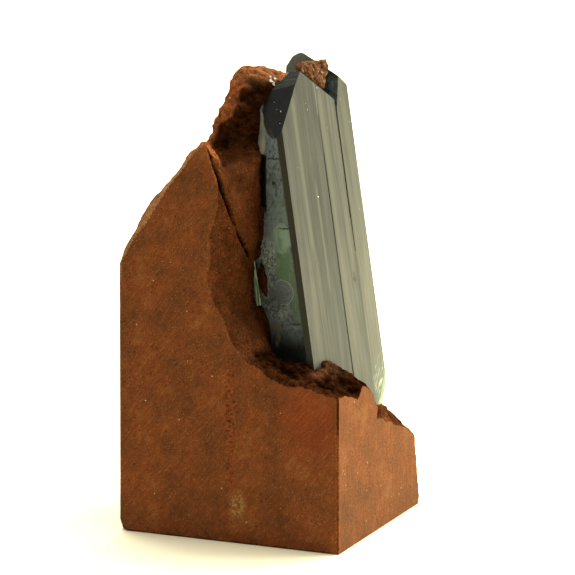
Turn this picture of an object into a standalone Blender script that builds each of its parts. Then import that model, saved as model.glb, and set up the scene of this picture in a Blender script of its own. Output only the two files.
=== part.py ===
"""Vivianite crystals standing in a sawn block of brown ironstone matrix.

Units are metres and +Z is up. The block rests on its sawn base, its large sawn face looks along
-Y and its small sawn face along +X. The origin is the middle of the base of the whole specimen.
Sizes below are in millimetres and are turned to metres where a mesh is made.

Places on the stone are given as (left, back, up): how far left of the front right corner, how far
back from the large sawn face and how far above the base. Places on the crystals are given as
(across, into, along): across the large striated face from its left edge, into the crystal from
that face, and along its length from the foot.
"""

import math

import bmesh
import bpy
from mathutils import Matrix, Vector, noise

MM = 0.001

# ---------------------------------------------------------------- driving dimensions
BLOCK_WIDTH = 33.8  # along X, between the two sawn sides
BLOCK_DEPTH = 30.0  # along Y, from the sawn face to the broken back
FACE_TURN = 60.0  # degrees that the striated faces are turned from the large sawn face
LEAN = 12.8  # degrees that the crystals lean back from upright
FACE_FOOT = (6.7, 6.98, 25.15)  # lower left corner of the striated face, on the stone

FRONT_WIDTH = 9.8  # striated face of the front crystal
FRONT_DEPTH = 11.4
BEVEL_ACROSS = 0.55  # narrow face between the striated face and the left side
BEVEL_INTO = 0.75
BACK_FACET_ACROSS = 0.9  # where the narrow facet at the back left corner starts on the back face
BACK_FACET_INTO = 1.6  # and how far before the back face it ends on the left side
REAR_LEFT = 10.05  # where the rear crystal starts, just right of the seam
REAR_RIGHT = 12.45
REAR_DEPTH = 12.75
CRYSTAL_FOOT = -8.6  # lower ends, buried in the stone
CRYSTAL_REACH = 50.0  # longer than either crystal, before its top faces are cut
TRIM_LEFT = 0.12  # how far inside the small sawn face the crystals were trimmed

SLIVER_ACROSS = -1.27  # middle of the thin blade left of the front crystal
SLIVER_INTO = 9.7
SLIVER_RADIUS = 0.4
SLIVER_FOOT = 9.2
SLIVER_TOP = 16.0
SLIVER_OUTLINE = ((-0.36, -0.3), (0.28, -0.4), (0.4, 0.1), (0.18, 0.42), (-0.4, 0.28))
SLIVER_TIP = (-0.9, 0.0, 1.0)  # which way its slanted tip faces
SLIVER_SPARE = 2.0  # extra length that the tip is cut from

CONTACT_GAP = 0.3  # clear space where stone and crystal touch
SAW_MARGIN = 1.6  # how far the rough stone stands outside the saw cuts
TALLEST = 70.0  # above every piece
CUT_MERGE = 1e-7  # metres; points this near to a cut lie on it
STONE_GRAIN = 0.62  # size of the facets on broken stone
STONE_FACETS = 9500  # triangles kept on the broken stone before sawing

# Roughness of broken stone: (size of the bumps, how far they stand out). Bowls are the shallow
# shells that the stone breaks in, with sharp ridges between them.
BROKEN_RELIEF = ((6.5, 0.5), (2.6, 0.28), (1.3, 0.16))
BROKEN_BOWLS = ((5.2, 0.75), (2.3, 0.3))

WEDGE_GAP = 0.12
WEDGE_ROOM = 0.55  # clear space that the block leaves round the rough remnant
WEDGE_GRAIN = 0.4
WEDGE_RELIEF = ((1.8, 0.2), (0.9, 0.12))
WEDGE_BOWLS = ((1.3, 0.25),)
WEDGE_FACETS = 500


# ---------------------------------------------------------------- frames of reference
def on_stone(left, back, up):
    """A place on the stone, in metres."""
    return Vector(
        (BLOCK_WIDTH / 2 - left, -BLOCK_DEPTH / 2 + back, up)
    ) * MM


CRYSTAL_FRAME = (
    Matrix.Translation(on_stone(*FACE_FOOT))
    @ Matrix.Rotation(math.radians(FACE_TURN), 4, "Z")
    @ Matrix.Rotation(math.radians(-LEAN), 4, "X")
)


def on_crystal(across, into, along):
    """A place on the crystals, in metres."""
    return CRYSTAL_FRAME @ (Vector((across, into, along)) * MM)


# ---------------------------------------------------------------- materials
def material(name, colour, roughness):
    """A plain Principled finish in the part's own colour."""
    made = bpy.data.materials.new(name)
    made.use_nodes = True
    shader = made.node_tree.nodes["Principled BSDF"]
    shader.inputs["Base Color"].default_value = (*colour, 1.0)
    shader.inputs["Roughness"].default_value = roughness
    shader.inputs["Metallic"].default_value = 0.0
    return made


# ---------------------------------------------------------------- mesh helpers
def add_object(name, bm, helper=False):
    """Puts a bmesh in the scene. A helper is never rendered and is shown as wires."""
    bmesh.ops.recalc_face_normals(bm, faces=bm.faces)
    mesh = bpy.data.meshes.new(name)
    bm.to_mesh(mesh)
    bm.free()
    made = bpy.data.objects.new(name, mesh)
    bpy.context.scene.collection.objects.link(made)
    if helper:
        made.hide_render = True
        made.display_type = "WIRE"
    return made


def hull(name, points, helper=True):
    """The tight convex skin round some points, which are in metres."""
    bm = bmesh.new()
    verts = [bm.verts.new(point) for point in points]
    skin = bmesh.ops.convex_hull(bm, input=verts)
    unused = [v for v in skin["geom_interior"] if isinstance(v, bmesh.types.BMVert)]
    bmesh.ops.delete(bm, geom=unused, context="VERTS")
    return add_object(name, bm, helper)


def prism(outline, low, high, place):
    """A bmesh prism: an outline of (a, b) points carried from low to high."""
    bm = bmesh.new()
    bottom = [bm.verts.new(place(a, b, low)) for a, b in outline]
    top = [bm.verts.new(place(a, b, high)) for a, b in outline]
    bm.faces.new(bottom)
    bm.faces.new(top)
    for i in range(len(outline)):
        j = (i + 1) % len(outline)
        bm.faces.new((bottom[i], bottom[j], top[j], top[i]))
    bmesh.ops.recalc_face_normals(bm, faces=bm.faces)
    return bm


def cleave(bm, point, normal):
    """Cuts away what lies beyond a plane and closes the cut with one flat face."""
    everything = list(bm.verts) + list(bm.edges) + list(bm.faces)
    cut = bmesh.ops.bisect_plane(
        bm, geom=everything, plane_co=point, plane_no=normal, clear_outer=True, dist=CUT_MERGE
    )
    rim = [edge for edge in cut["geom_cut"] if isinstance(edge, bmesh.types.BMEdge)]
    bmesh.ops.contextual_create(bm, geom=rim)


def combine(target, tools, operation):
    """Joins, cuts or keeps with exact Booleans, and bakes the result into the target."""
    for tool in tools:
        modifier = target.modifiers.new(f"{operation.lower()} {tool.name}", "BOOLEAN")
        modifier.operation = operation
        modifier.solver = "EXACT"
        modifier.object = tool
    bake(target)


def bake(target):
    """Replaces the target's mesh by what its modifiers make of it."""
    graph = bpy.context.evaluated_depsgraph_get()
    made = bpy.data.meshes.new_from_object(target.evaluated_get(graph))
    target.modifiers.clear()
    target.data = made


def keep_largest(target):
    """Drops the loose flakes that a cut leaves, and keeps the one large body."""
    bm = bmesh.new()
    bm.from_mesh(target.data)
    unseen = set(bm.verts)
    bodies = []
    while unseen:
        body = {unseen.pop()}
        edge_of_body = list(body)
        while edge_of_body:
            vert = edge_of_body.pop()
            for edge in vert.link_edges:
                other = edge.other_vert(vert)
                if other in unseen:
                    unseen.discard(other)
                    body.add(other)
                    edge_of_body.append(other)
        bodies.append(body)
    bodies.sort(key=len)
    for body in bodies[:-1]:
        bmesh.ops.delete(bm, geom=list(body), context="VERTS")
    bm.to_mesh(target.data)
    bm.free()


def remove(objects):
    for obj in objects:
        bpy.data.objects.remove(obj, do_unlink=True)


# ---------------------------------------------------------------- crystals
def crystal_plane(point, along_plane, grow=0.0):
    """A top face of a crystal, as a plane that holds its depth direction.

    point and along_plane are (across, along) in the plane of the striated face. The normal points
    up and out of the crystal. grow moves the plane outwards."""
    across, along = along_plane
    normal = Vector((-along, 0.0, across)).normalized()
    if normal.z < 0:
        normal = -normal
    moved = Vector((point[0], 0.0, point[1])) + normal * grow
    turned = CRYSTAL_FRAME.to_3x3() @ normal
    return on_crystal(*moved), turned


def trim_to_saw_cut(bm, grow=0.0):
    """The saw that made the small face also trimmed the rear crystal's lower corner."""
    edge_of_cut = on_stone(TRIM_LEFT - grow, 0, 0)
    cleave(bm, edge_of_cut, Vector((1, 0, 0)))


# Top faces that run straight into a crystal, as (a place on the face, its direction), both as
# (across, along): the front crystal's three, and the one that rises along the rear crystal.
FRONT_TOP_FACES = (
    ((0.0, 34.05), (22.4, 40.0)),
    ((3.19, 39.75), (9.1, 14.7)),
    ((4.49, 41.85), (39.1, -35.5)),
)
REAR_TOP_FACE = ((10.2, 36.25), (4.5, 21.2))

# Faces of the front crystal that aren't parallel to its depth, as (a place on it, its outward
# direction): the two slopes that the upper lump covers, and the pale facet above the left side.
FRONT_BACK_FACES = (
    ((4.49, 2.45, 41.85), (-0.2, 1.0, 1.37)),
    ((2.0, 6.45, 37.8), (0.0, 1.0, 0.63)),
    ((-0.21, 2.0, 33.65), (-0.951, 0.22, 0.216)),
)
# The same for the rear crystal: the bevel along its rising ridge, its blunt peak, its two back slopes
# and the break at its lower right corner.
REAR_FACES = (
    ((11.3, 0.0, 39.95), (0.708, -0.307, 0.636)),
    ((11.3, 8.3, 43.55), (0.0, -0.05, 1.0)),
    ((11.3, 10.3, 43.5), (0.0, 0.3, 1.0)),
    ((11.3, 11.3, 43.2), (0.0, 0.95, 1.0)),
    ((12.35, 0.3, -4.4), (0.904, -0.373, -0.327)),
)


def front_outline(grow=0.0):
    """Cross section of the front crystal. Its striated face has four low growth steps."""
    steps = (
        (0.0, 0.0),
        (1.55, 0.0),
        (1.7, 0.1),
        (3.55, 0.1),
        (3.75, -0.02),
        (6.6, -0.02),
        (6.72, 0.12),
        (8.2, 0.12),
        (8.4, 0.02),
        (FRONT_WIDTH, 0.02),
    )
    if grow:
        steps = ((-grow / 2, -grow), (FRONT_WIDTH + grow, -grow))
    sides = (
        (FRONT_WIDTH + grow, FRONT_DEPTH + grow),
        (BACK_FACET_ACROSS - grow, FRONT_DEPTH + grow),
        (-BEVEL_ACROSS - grow, FRONT_DEPTH - BACK_FACET_INTO + grow),
        (-BEVEL_ACROSS - grow, BEVEL_INTO - grow / 2),
    )
    return steps + sides


def front_body(grow=0.0):
    """The front crystal: three top faces that meet in a point on the left."""
    bm = prism(front_outline(grow), CRYSTAL_FOOT - grow, CRYSTAL_REACH, on_crystal)
    for point, direction in FRONT_TOP_FACES:
        cleave(bm, *crystal_plane(point, direction, grow))
    turn = CRYSTAL_FRAME.to_3x3()
    for place, normal in FRONT_BACK_FACES:
        outward = Vector(normal).normalized()
        cleave(bm, on_crystal(*(Vector(place) + outward * grow)), turn @ outward)
    trim_to_saw_cut(bm, grow)
    return bm


def rear_body(grow=0.0):
    """The rear crystal: a thin blade whose top rises to a blunt peak towards the back."""
    outline = (
        (REAR_LEFT - grow, 0.06 - grow),
        (REAR_RIGHT - 0.12, -grow),
        (REAR_RIGHT + grow, 0.14 - grow),
        (REAR_RIGHT + 0.1 + grow, REAR_DEPTH + grow),
        (REAR_LEFT - grow, REAR_DEPTH + grow),
    )
    bm = prism(outline, CRYSTAL_FOOT - grow, CRYSTAL_REACH, on_crystal)
    cleave(bm, *crystal_plane(*REAR_TOP_FACE, grow))
    turn = CRYSTAL_FRAME.to_3x3()
    for place, normal in REAR_FACES:
        outward = Vector(normal).normalized()
        cleave(bm, on_crystal(*(Vector(place) + outward * grow)), turn @ outward)
    trim_to_saw_cut(bm, grow)
    return bm


# The remnant's rough form, by its corners on the crystals.
WEDGE = (
    (4.9, 0.5, 41.8), (5.6, 1.1, 42.3), (6.3, 1.3, 42.95), (7.3, 1.6, 42.8), (8.5, 1.7, 42.3),
    (9.5, 1.3, 42.6), (10.5, 1.1, 42.35), (9.85, 0.7, 41.2), (9.3, 0.6, 40.2), (8.75, 0.6, 38.4),
    (6.9, 4.6, 41.0), (9.6, 5.7, 37.6), (11.2, 5.6, 40.0), (11.0, 5.0, 42.5), (7.4, 4.8, 42.4),
)


def wedge_hull(name, grow=0.0, helper=True):
    """The skin round the remnant's corners. grow swells it from its middle, for room round it."""
    middle = sum((Vector(point) for point in WEDGE), Vector()) / len(WEDGE)
    points = []
    for point in map(Vector, WEDGE):
        outward = (point - middle).normalized()
        points.append(on_crystal(*(point + outward * grow)))
    return hull(name, points, helper)


def sliver_body(grow=0.0):
    """A thin blade with a slanted tip, beside the left side of the front crystal."""

    def place(across, into, along):
        swell = 1.0 + grow / SLIVER_RADIUS
        middle = Vector((SLIVER_ACROSS, SLIVER_INTO, 0.0))
        return on_crystal(*(middle + Vector((across * swell, into * swell, along))))

    bm = prism(SLIVER_OUTLINE, SLIVER_FOOT - grow, SLIVER_TOP + SLIVER_SPARE + grow, place)
    tip = (CRYSTAL_FRAME.to_3x3() @ Vector(SLIVER_TIP)).normalized()
    cleave(bm, on_crystal(SLIVER_ACROSS, SLIVER_INTO, SLIVER_TOP + grow), tip)
    return bm


# ---------------------------------------------------------------- stone
OUT = -SAW_MARGIN  # just outside the right, front and bottom saw cuts
FAR_LEFT = BLOCK_WIDTH + SAW_MARGIN

STONE_LUMPS = {
    "foot": (
        (OUT, OUT, OUT), (FAR_LEFT, OUT, OUT), (FAR_LEFT, 28.9, OUT), (OUT, 29.7, OUT),
        (OUT, OUT, 19.5), (OUT, 7.6, 17.2), (OUT, 25.9, 10.6), (OUT, 29.9, 1.5),
        (OUT, 28.1, 9.4), (OUT, 28.9, 6.0), (FAR_LEFT, OUT, 27.0), (FAR_LEFT, 28.6, 27.0),
        (18.0, 28.6, 24.0), (8.0, 28.4, 14.0), (16.0, 3.0, 26.6), (OUT, 22.6, 12.1),
    ),
    "front lip": (
        (OUT, OUT, 22.5), (OUT, 1.2, 22.6), (OUT, 3.6, 21.3), (OUT, 5.2, 20.5), (OUT, 7.6, 20.1),
        (OUT, 8.8, 16.0), (6.0, OUT, 22.4), (9.6, OUT, 23.4), (9.6, 3.2, 25.3), (7.4, 7.0, 25.0),
        (4.4, 3.4, 23.9), (OUT, OUT, 15.0), (9.6, OUT, 15.0), (9.6, 12.0, 15.0),
    ),
    "left lip": (
        (8.4, OUT, 23.5), (15.8, OUT, 26.8), (20.0, OUT, 29.2), (17.0, 2.5, 28.0),
        (15.0, 7.0, 25.6), (8.4, 3.0, 25.0), (8.4, OUT, 15.0), (20.0, OUT, 15.0),
        (20.0, 12.0, 15.0), (8.4, 10.0, 15.0), (8.6, 7.0, 25.0),
    ),
    "dark ledge": (
        (OUT, 8.9, 21.6), (OUT, 11.4, 21.2), (OUT, 13.2, 17.9), (OUT, 16.6, 14.6), (1.4, 13.6, 20.6),
        (3.6, 11.3, 23.7), (4.0, 9.2, 25.6), (6.2, 8.3, 26.3), (8.6, 7.2, 25.7), (9.4, 4.6, 24.6),
        (4.2, 6.4, 23.6), (12.8, 10.4, 26.0), (OUT, 8.0, 15.0), (OUT, 13.0, 15.0),
        (12.0, 5.0, 15.0), (14.0, 14.0, 15.0),
    ),
    "scoop floor": (
        (15.2, OUT, 26.6), (20.6, OUT, 37.0), (21.0, OUT, 24.0), (18.6, 14.2, 33.0),
        (15.2, 11.6, 26.6), (11.6, 5.5, 25.2), (22.0, 16.0, 24.0), (14.0, 2.0, 20.0),
        (19.6, 8.0, 36.0),
    ),
    "left pillar": (
        (FAR_LEFT, OUT, 36.4), (33.4, OUT, 39.2), (30.8, OUT, 41.9), (29.0, OUT, 44.3),
        (27.3, OUT, 48.3), (24.9, OUT, 51.2), (22.7, OUT, 55.3), (20.2, OUT, 58.5),
        (33.9, 1.5, 39.8), (32.3, 1.5, 43.4), (29.9, 1.5, 47.3), (26.4, 1.5, 52.3),
        (23.5, 1.5, 56.0), (FAR_LEFT, 4.0, 39.6),
        (33.7, 4.0, 41.7), (32.1, 4.4, 45.0), (30.3, 4.4, 47.5), (27.9, 3.9, 50.2),
        (25.4, 3.6, 53.9), (22.7, 2.7, 57.4), (21.0, 2.1, 58.4), (19.6, 1.0, 56.0),
        (17.6, OUT, 50.6), (19.6, OUT, 44.0), (16.4, 7.1, 42.5), (16.9, 7.1, 30.0),
        (FAR_LEFT, 16.0, 37.0), (FAR_LEFT, 28.4, 31.0), (24.0, 14.0, 50.0),
        (FAR_LEFT, OUT, 20.0), (FAR_LEFT, 28.6, 20.0), (18.0, 28.0, 20.0), (18.0, OUT, 24.0),
        (18.0, 14.0, 24.0), (18.0, 27.8, 30.0),
    ),
    "middle fragment": (
        (17.8, 1.2, 52.9), (17.3, 5.7, 53.9), (16.9, 7.2, 55.7), (16.4, 10.3, 55.0),
        (16.1, 12.0, 53.8), (16.0, 12.4, 46.9), (17.3, 13.4, 38.0), (16.0, 8.8, 42.0),
        (21.0, 14.0, 37.0), (22.0, 2.0, 38.0), (22.5, 2.2, 53.0), (22.5, 14.0, 55.0),
    ),
    "back wall": (
        (24.4, 13.2, 57.0), (22.4, 14.8, 59.0), (20.8, 13.6, 52.0), (15.4, 14.6, 52.0),
        (31.0, 7.0, 40.0), (31.5, 27.4, 40.0), (27.5, 27.8, 50.0), (19.0, 28.6, 58.0),
        (14.4, 28.2, 44.0), (12.0, 28.4, 30.0), (9.0, 28.6, 18.0), (12.0, 18.0, 24.0),
        (16.0, 13.0, 30.0), (26.0, 15.6, 56.5), (32.0, 27.0, 20.0), (32.0, 8.0, 20.0),
    ),
    "upper lump": (
        (26.0, 15.7, 56.7), (25.5, 16.4, 58.8), (24.6, 17.8, 62.2), (23.2, 18.5, 64.8),
        (20.9, 18.5, 64.9), (20.0, 20.6, 63.7), (18.4, 22.1, 63.2), (17.6, 24.6, 62.9),
        (22.4, 15.0, 58.8), (24.4, 13.4, 57.1), (21.4, 16.8, 62.6), (17.0, 15.0, 55.0),
        (14.6, 16.2, 63.2), (16.4, 16.0, 62.6), (15.0, 20.0, 63.6), (15.4, 24.0, 63.0),
        (22.4, 27.2, 60.5), (26.2, 27.0, 54.5), (18.6, 28.4, 60.5), (28.0, 14.0, 50.0),
        (16.0, 28.0, 50.0),
    ),
}

# The open hollow in front of and right of the crystals: its wall, as how far left of the right
# face the stone is reached, at each of these distances back, from low to high.
HOLLOW_BACK = (-4.0, 0.0, 4.0, 8.0, 12.0, 17.0, 23.0, 33.0)
HOLLOW_WALL = {
    16.0: (-2.0, -2.0, -2.0, -1.0, 0.0, 2.0, 5.0, 7.0),
    23.0: (8.0, 9.0, 10.0, 11.0, 11.0, 11.0, 11.0, 11.0),
    27.0: (15.6, 15.8, 15.7, 15.5, 15.2, 12.4, 12.0, 12.5),
    32.0: (18.8, 18.6, 17.4, 17.2, 18.0, 14.6, 12.8, 13.5),
    38.0: (20.6, 20.2, 18.2, 17.0, 18.2, 15.6, 13.4, 14.5),
    44.0: (20.4, 19.6, 17.5, 16.3, 17.5, 15.8, 14.0, 15.5),
    50.0: (18.8, 18.0, 16.9, 16.4, 16.9, 16.3, 15.0, 16.5),
    55.5: (19.9, 19.4, 17.2, 16.8, 16.3, 16.0, 15.8, 17.0),
    60.0: (21.0, 20.8, 18.0, 17.6, 17.0, 14.4, 14.6, 17.0),
    70.0: (21.4, 21.2, 20.0, 18.0, 17.0, 14.2, 14.6, 17.0),
}
HOLLOW_OUTSIDE = -6.0  # beyond the right face

# The shadowed recess between the pillar's peak, the fragment's top and the upper lump.
RECESS = (
    (20.6, 2.7, 56.6), (18.2, 2.3, 53.6), (14.0, 1.6, 53.4), (13.0, 13.0, 55.2),
    (18.6, 13.2, 54.8), (20.3, 12.6, 54.2), (23.9, 12.6, 57.2), (22.3, 16.0, 61.0),
    (21.0, 18.4, 65.4), (18.1, 16.8, 62.4), (13.0, 13.6, 66.0), (14.0, -4.0, 61.0),
    (19.2, -4.0, 60.6), (22.4, 5.0, 62.0),
)

# The natural crack that runs down from the pillar's peak between pillar and fragment.
CRACK_PATH = (
    (19.9, 0.0, 57.6), (19.2, 0.3, 55.2), (18.0, 0.7, 52.2), (17.2, 2.6, 49.4),
    (16.7, 4.6, 46.2), (16.3, 7.0, 42.4), (16.5, 9.6, 39.2),
)
CRACK_WIDTH = 0.34
CRACK_DEPTH = 1.3
CRACK_INWARD = (0.8, 0.6, 0.0)  # the level direction that the crack runs into the stone

CHIP_SIZE = 2.0  # the chipped corner, along the base
CHIP_HEIGHT = 3.0
CHIP_OUTSIDE = 0.5  # how far its cutter stands outside the saw cuts


def stone_lumps():
    return [
        hull(name, [on_stone(*point) for point in points])
        for name, points in STONE_LUMPS.items()
    ]


def hollow_cutter():
    """The hollow as a stack of level sections, joined into one closed body."""
    bm = bmesh.new()
    rings = []
    for up, wall in HOLLOW_WALL.items():
        ring = [bm.verts.new(on_stone(left, back, up)) for left, back in zip(wall, HOLLOW_BACK)]
        for back in (HOLLOW_BACK[-1], HOLLOW_BACK[0]):
            ring.append(bm.verts.new(on_stone(HOLLOW_OUTSIDE, back, up)))
        rings.append(ring)
    for low, high in zip(rings, rings[1:]):
        for i in range(len(low)):
            j = (i + 1) % len(low)
            bm.faces.new((low[i], low[j], high[j], high[i]))
    bm.faces.new(rings[0])
    bm.faces.new(rings[-1])
    bmesh.ops.triangulate(bm, faces=bm.faces)
    return add_object("hollow", bm, helper=True)


def saw_box():
    """What the saw left: flat base, front, left and right. The back is broken, not sawn."""
    bm = bmesh.new()
    bmesh.ops.create_cube(bm, size=1.0)
    low = on_stone(BLOCK_WIDTH, 0, 0)
    high = on_stone(0, BLOCK_DEPTH, TALLEST)
    for vert in bm.verts:
        for axis in range(3):
            vert.co[axis] = high[axis] if vert.co[axis] > 0 else low[axis]
    return add_object("saw box", bm, helper=True)


def corner_chip():
    """A knocked lower left corner of the large sawn face."""
    out = CHIP_OUTSIDE
    places = [
        (BLOCK_WIDTH + out, -out, -out),
        (BLOCK_WIDTH + out, -out, CHIP_HEIGHT),
        (BLOCK_WIDTH + out, CHIP_SIZE, -out),
        (BLOCK_WIDTH - CHIP_SIZE, -out, -out),
    ]
    return hull("corner chip", [on_stone(*place) for place in places])


def crack_cutter():
    """A V-shaped groove carried down the crack's path, opening to the front and the right."""
    inward = Vector(CRACK_INWARD)
    across = Vector((-inward.y, inward.x, 0.0)) * CRACK_WIDTH
    bm = bmesh.new()
    rings = []
    for place in map(Vector, CRACK_PATH):
        mouth = place - inward * CRACK_WIDTH * 2
        section = (mouth - across, mouth + across, place + inward * CRACK_DEPTH)
        rings.append([bm.verts.new(on_stone(*point)) for point in section])
    for low, high in zip(rings, rings[1:]):
        for i in range(3):
            j = (i + 1) % 3
            bm.faces.new((low[i], low[j], high[j], high[i]))
    bm.faces.new(rings[0])
    bm.faces.new(rings[-1])
    bmesh.ops.triangulate(bm, faces=bm.faces)
    return add_object("crack", bm, helper=True)


def relief(point, bumps, bowls):
    """How far broken stone stands out at a place, in metres."""
    height = 0.0
    for size, amount in bumps:
        height += noise.noise(point / (size * MM)) * amount
    for size, amount in bowls:
        nearest = noise.voronoi(point / (size * MM))[0][0]
        height += (nearest - 0.5) * amount
    return height * MM


def voxel_skin(target, grain):
    """Wraps the target in an even skin of small faces that never crosses itself."""
    skin = target.modifiers.new("grain", "REMESH")
    skin.mode = "VOXEL"
    skin.voxel_size = grain * MM
    bake(target)


def roughen(target, grain, bumps, bowls, most_facets):
    """Voxel facets with the relief of broken stone, thinned to the facets kept."""
    voxel_skin(target, grain)
    mesh = target.data
    moved = [v.co + v.normal * relief(v.co, bumps, bowls) for v in mesh.vertices]
    for vert, place in zip(mesh.vertices, moved):
        vert.co = place
    mesh.update()
    voxel_skin(target, grain)
    thin = target.modifiers.new("thin", "DECIMATE")
    thin.ratio = min(1.0, most_facets / (2 * len(target.data.polygons)))
    bake(target)


def make_stone():
    """The rough mass first, then the hollow, the saw cuts and the seats of the crystals."""
    lumps = stone_lumps()
    upper = [lump for lump in lumps if lump.name in ("left pillar", "back wall", "upper lump")]
    hollow = hollow_cutter()
    recess = hull("recess", [on_stone(*point) for point in RECESS])
    stone = upper[0].copy()
    stone.data = upper[0].data.copy()
    stone.name = "matrix_block"
    stone.hide_render = False
    stone.display_type = "TEXTURED"
    bpy.context.scene.collection.objects.link(stone)
    by_name = {lump.name: lump for lump in lumps}
    combine(stone, upper[1:] + [by_name["middle fragment"]], "UNION")
    combine(stone, [hollow, recess], "DIFFERENCE")
    low = [by_name[name] for name in ("foot", "front lip", "left lip", "dark ledge", "scoop floor")]
    combine(stone, low, "UNION")
    roughen(stone, STONE_GRAIN, BROKEN_RELIEF, BROKEN_BOWLS, STONE_FACETS)
    saw = saw_box()
    combine(stone, [saw], "INTERSECT")
    seats = [
        add_object("front seat", front_body(CONTACT_GAP), helper=True),
        add_object("rear seat", rear_body(CONTACT_GAP), helper=True),
        add_object("sliver seat", sliver_body(CONTACT_GAP), helper=True),
        wedge_hull("wedge seat", WEDGE_ROOM),
    ]
    marks = [crack_cutter(), corner_chip()]
    combine(stone, seats + marks, "DIFFERENCE")
    keep_largest(stone)
    remove(lumps + [hollow, recess, saw] + marks + seats)
    return stone


def make_wedge():
    """A remnant lodged in the V between the tops, on the front crystal's right slope."""
    wedge = wedge_hull("matrix_wedge", helper=False)
    roughen(wedge, WEDGE_GRAIN, WEDGE_RELIEF, WEDGE_BOWLS, WEDGE_FACETS)
    seats = [
        add_object("front rest", front_body(WEDGE_GAP), helper=True),
        add_object("rear rest", rear_body(WEDGE_GAP), helper=True),
    ]
    combine(wedge, seats, "DIFFERENCE")
    keep_largest(wedge)
    remove(seats)
    return wedge


def main():
    for obj in list(bpy.data.objects):
        bpy.data.objects.remove(obj, do_unlink=True)
    brown = (0.16, 0.045, 0.012)
    pieces = (
        (make_stone(), material("ironstone", brown, 0.85)),
        (add_object("front_crystal", front_body()), material("vivianite", (0.2, 0.2, 0.14), 0.2)),
        (add_object("rear_crystal", rear_body()), material("dark vivianite", (0.1, 0.11, 0.09), 0.2)),
        (make_wedge(), material("ironstone remnant", brown, 0.9)),
        (add_object("crystal_sliver", sliver_body()), material("pale vivianite", (0.3, 0.4, 0.3), 0.3)),
    )
    for piece, finish in pieces:
        piece.data.materials.clear()
        piece.data.materials.append(finish)


main()
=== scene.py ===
# %% [markdown]
# # Vivianite crystals on sawn ironstone
#
# Two dark blades of vivianite, a hydrated iron phosphate, stand in a block of brown ironstone.
# A collector sawed the stone to a flat base so that the crystals stand up.
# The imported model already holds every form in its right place, so this lesson starts from it.
# Each step then gives one natural surface what the eye expects close up.

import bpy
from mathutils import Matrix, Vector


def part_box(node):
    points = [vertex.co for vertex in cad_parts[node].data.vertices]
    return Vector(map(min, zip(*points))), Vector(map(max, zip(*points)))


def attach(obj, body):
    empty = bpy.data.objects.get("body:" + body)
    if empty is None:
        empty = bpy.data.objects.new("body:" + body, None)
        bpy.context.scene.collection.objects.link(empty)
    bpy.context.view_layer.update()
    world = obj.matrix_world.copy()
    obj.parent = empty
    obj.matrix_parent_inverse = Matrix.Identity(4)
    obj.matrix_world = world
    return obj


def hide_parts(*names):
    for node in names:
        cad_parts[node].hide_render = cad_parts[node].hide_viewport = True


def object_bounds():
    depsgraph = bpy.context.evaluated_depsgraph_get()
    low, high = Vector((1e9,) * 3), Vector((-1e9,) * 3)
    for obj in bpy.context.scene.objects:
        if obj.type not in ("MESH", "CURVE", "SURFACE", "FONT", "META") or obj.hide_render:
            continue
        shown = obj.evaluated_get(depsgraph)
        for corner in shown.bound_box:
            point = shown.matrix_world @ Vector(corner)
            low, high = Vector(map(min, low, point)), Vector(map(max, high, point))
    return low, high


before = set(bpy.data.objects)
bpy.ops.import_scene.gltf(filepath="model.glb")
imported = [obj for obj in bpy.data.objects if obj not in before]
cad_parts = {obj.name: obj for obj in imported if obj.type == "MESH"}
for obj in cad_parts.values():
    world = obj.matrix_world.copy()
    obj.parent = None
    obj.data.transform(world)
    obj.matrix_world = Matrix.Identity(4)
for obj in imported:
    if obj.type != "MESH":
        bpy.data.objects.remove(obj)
cad_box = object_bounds()
print("box of the solids, mm:", [round(side * 1000, 2) for side in cad_box[1] - cad_box[0]])

# %% Tools
import math

import bmesh
import bpy
import numpy as np
from mathutils import Matrix, Vector, noise
from mathutils.bvhtree import BVHTree

MM = 0.001
scene = bpy.context.scene
draw = np.random.default_rng(23)
print("nodes:", sorted(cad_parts))

# %% [markdown]
# ## Places
#
# A stone is easiest to describe from a sawn corner, as you would with a ruler in hand.
# Places on it are left of the front right corner, back from the large sawn face, and up.
# A crystal has a frame of its own: across its large striated face, into it, and along its length.
# Both frames repeat the numbers of the solid model, so pieces made here sit where it has them.

# %% Frames of reference
BLOCK_WIDTH, BLOCK_DEPTH = 33.8, 30.0
FACE_TURN, LEAN = 60.0, 12.8
FACE_FOOT = (6.7, 6.98, 25.15)


def on_stone(left, back, up):
    """A place on the stone, in metres."""
    return Vector((BLOCK_WIDTH / 2 - left, -BLOCK_DEPTH / 2 + back, up)) * MM


CRYSTAL_FRAME = (
    Matrix.Translation(on_stone(*FACE_FOOT))
    @ Matrix.Rotation(math.radians(FACE_TURN), 4, "Z")
    @ Matrix.Rotation(math.radians(-LEAN), 4, "X")
)


def on_crystal(across, into, along):
    """A place on the crystals, in metres."""
    return CRYSTAL_FRAME @ (Vector((across, into, along)) * MM)


print("tip of the front crystal, mm:", [round(c / MM, 1) for c in on_crystal(4.5, 0, 41.8)])

# %% [markdown]
# ## Camera
#
# A long lens from far away keeps the sawn edges parallel, as in a specimen portrait.
# The camera stands a little to the right of the large sawn face and looks down by 15 degrees.

# %% Camera
CAMERA_TURN, CAMERA_DROP = math.radians(23.0), math.radians(15.0)
CAMERA_AWAY = 2.6
SEEN_WIDTH = 81.94 * MM
SENSOR = 36.0
AIM_LEFT, AIM_UP, AIM_DEEPER = 7.2 * MM, 37.98 * MM, 10.8 * MM

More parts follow.
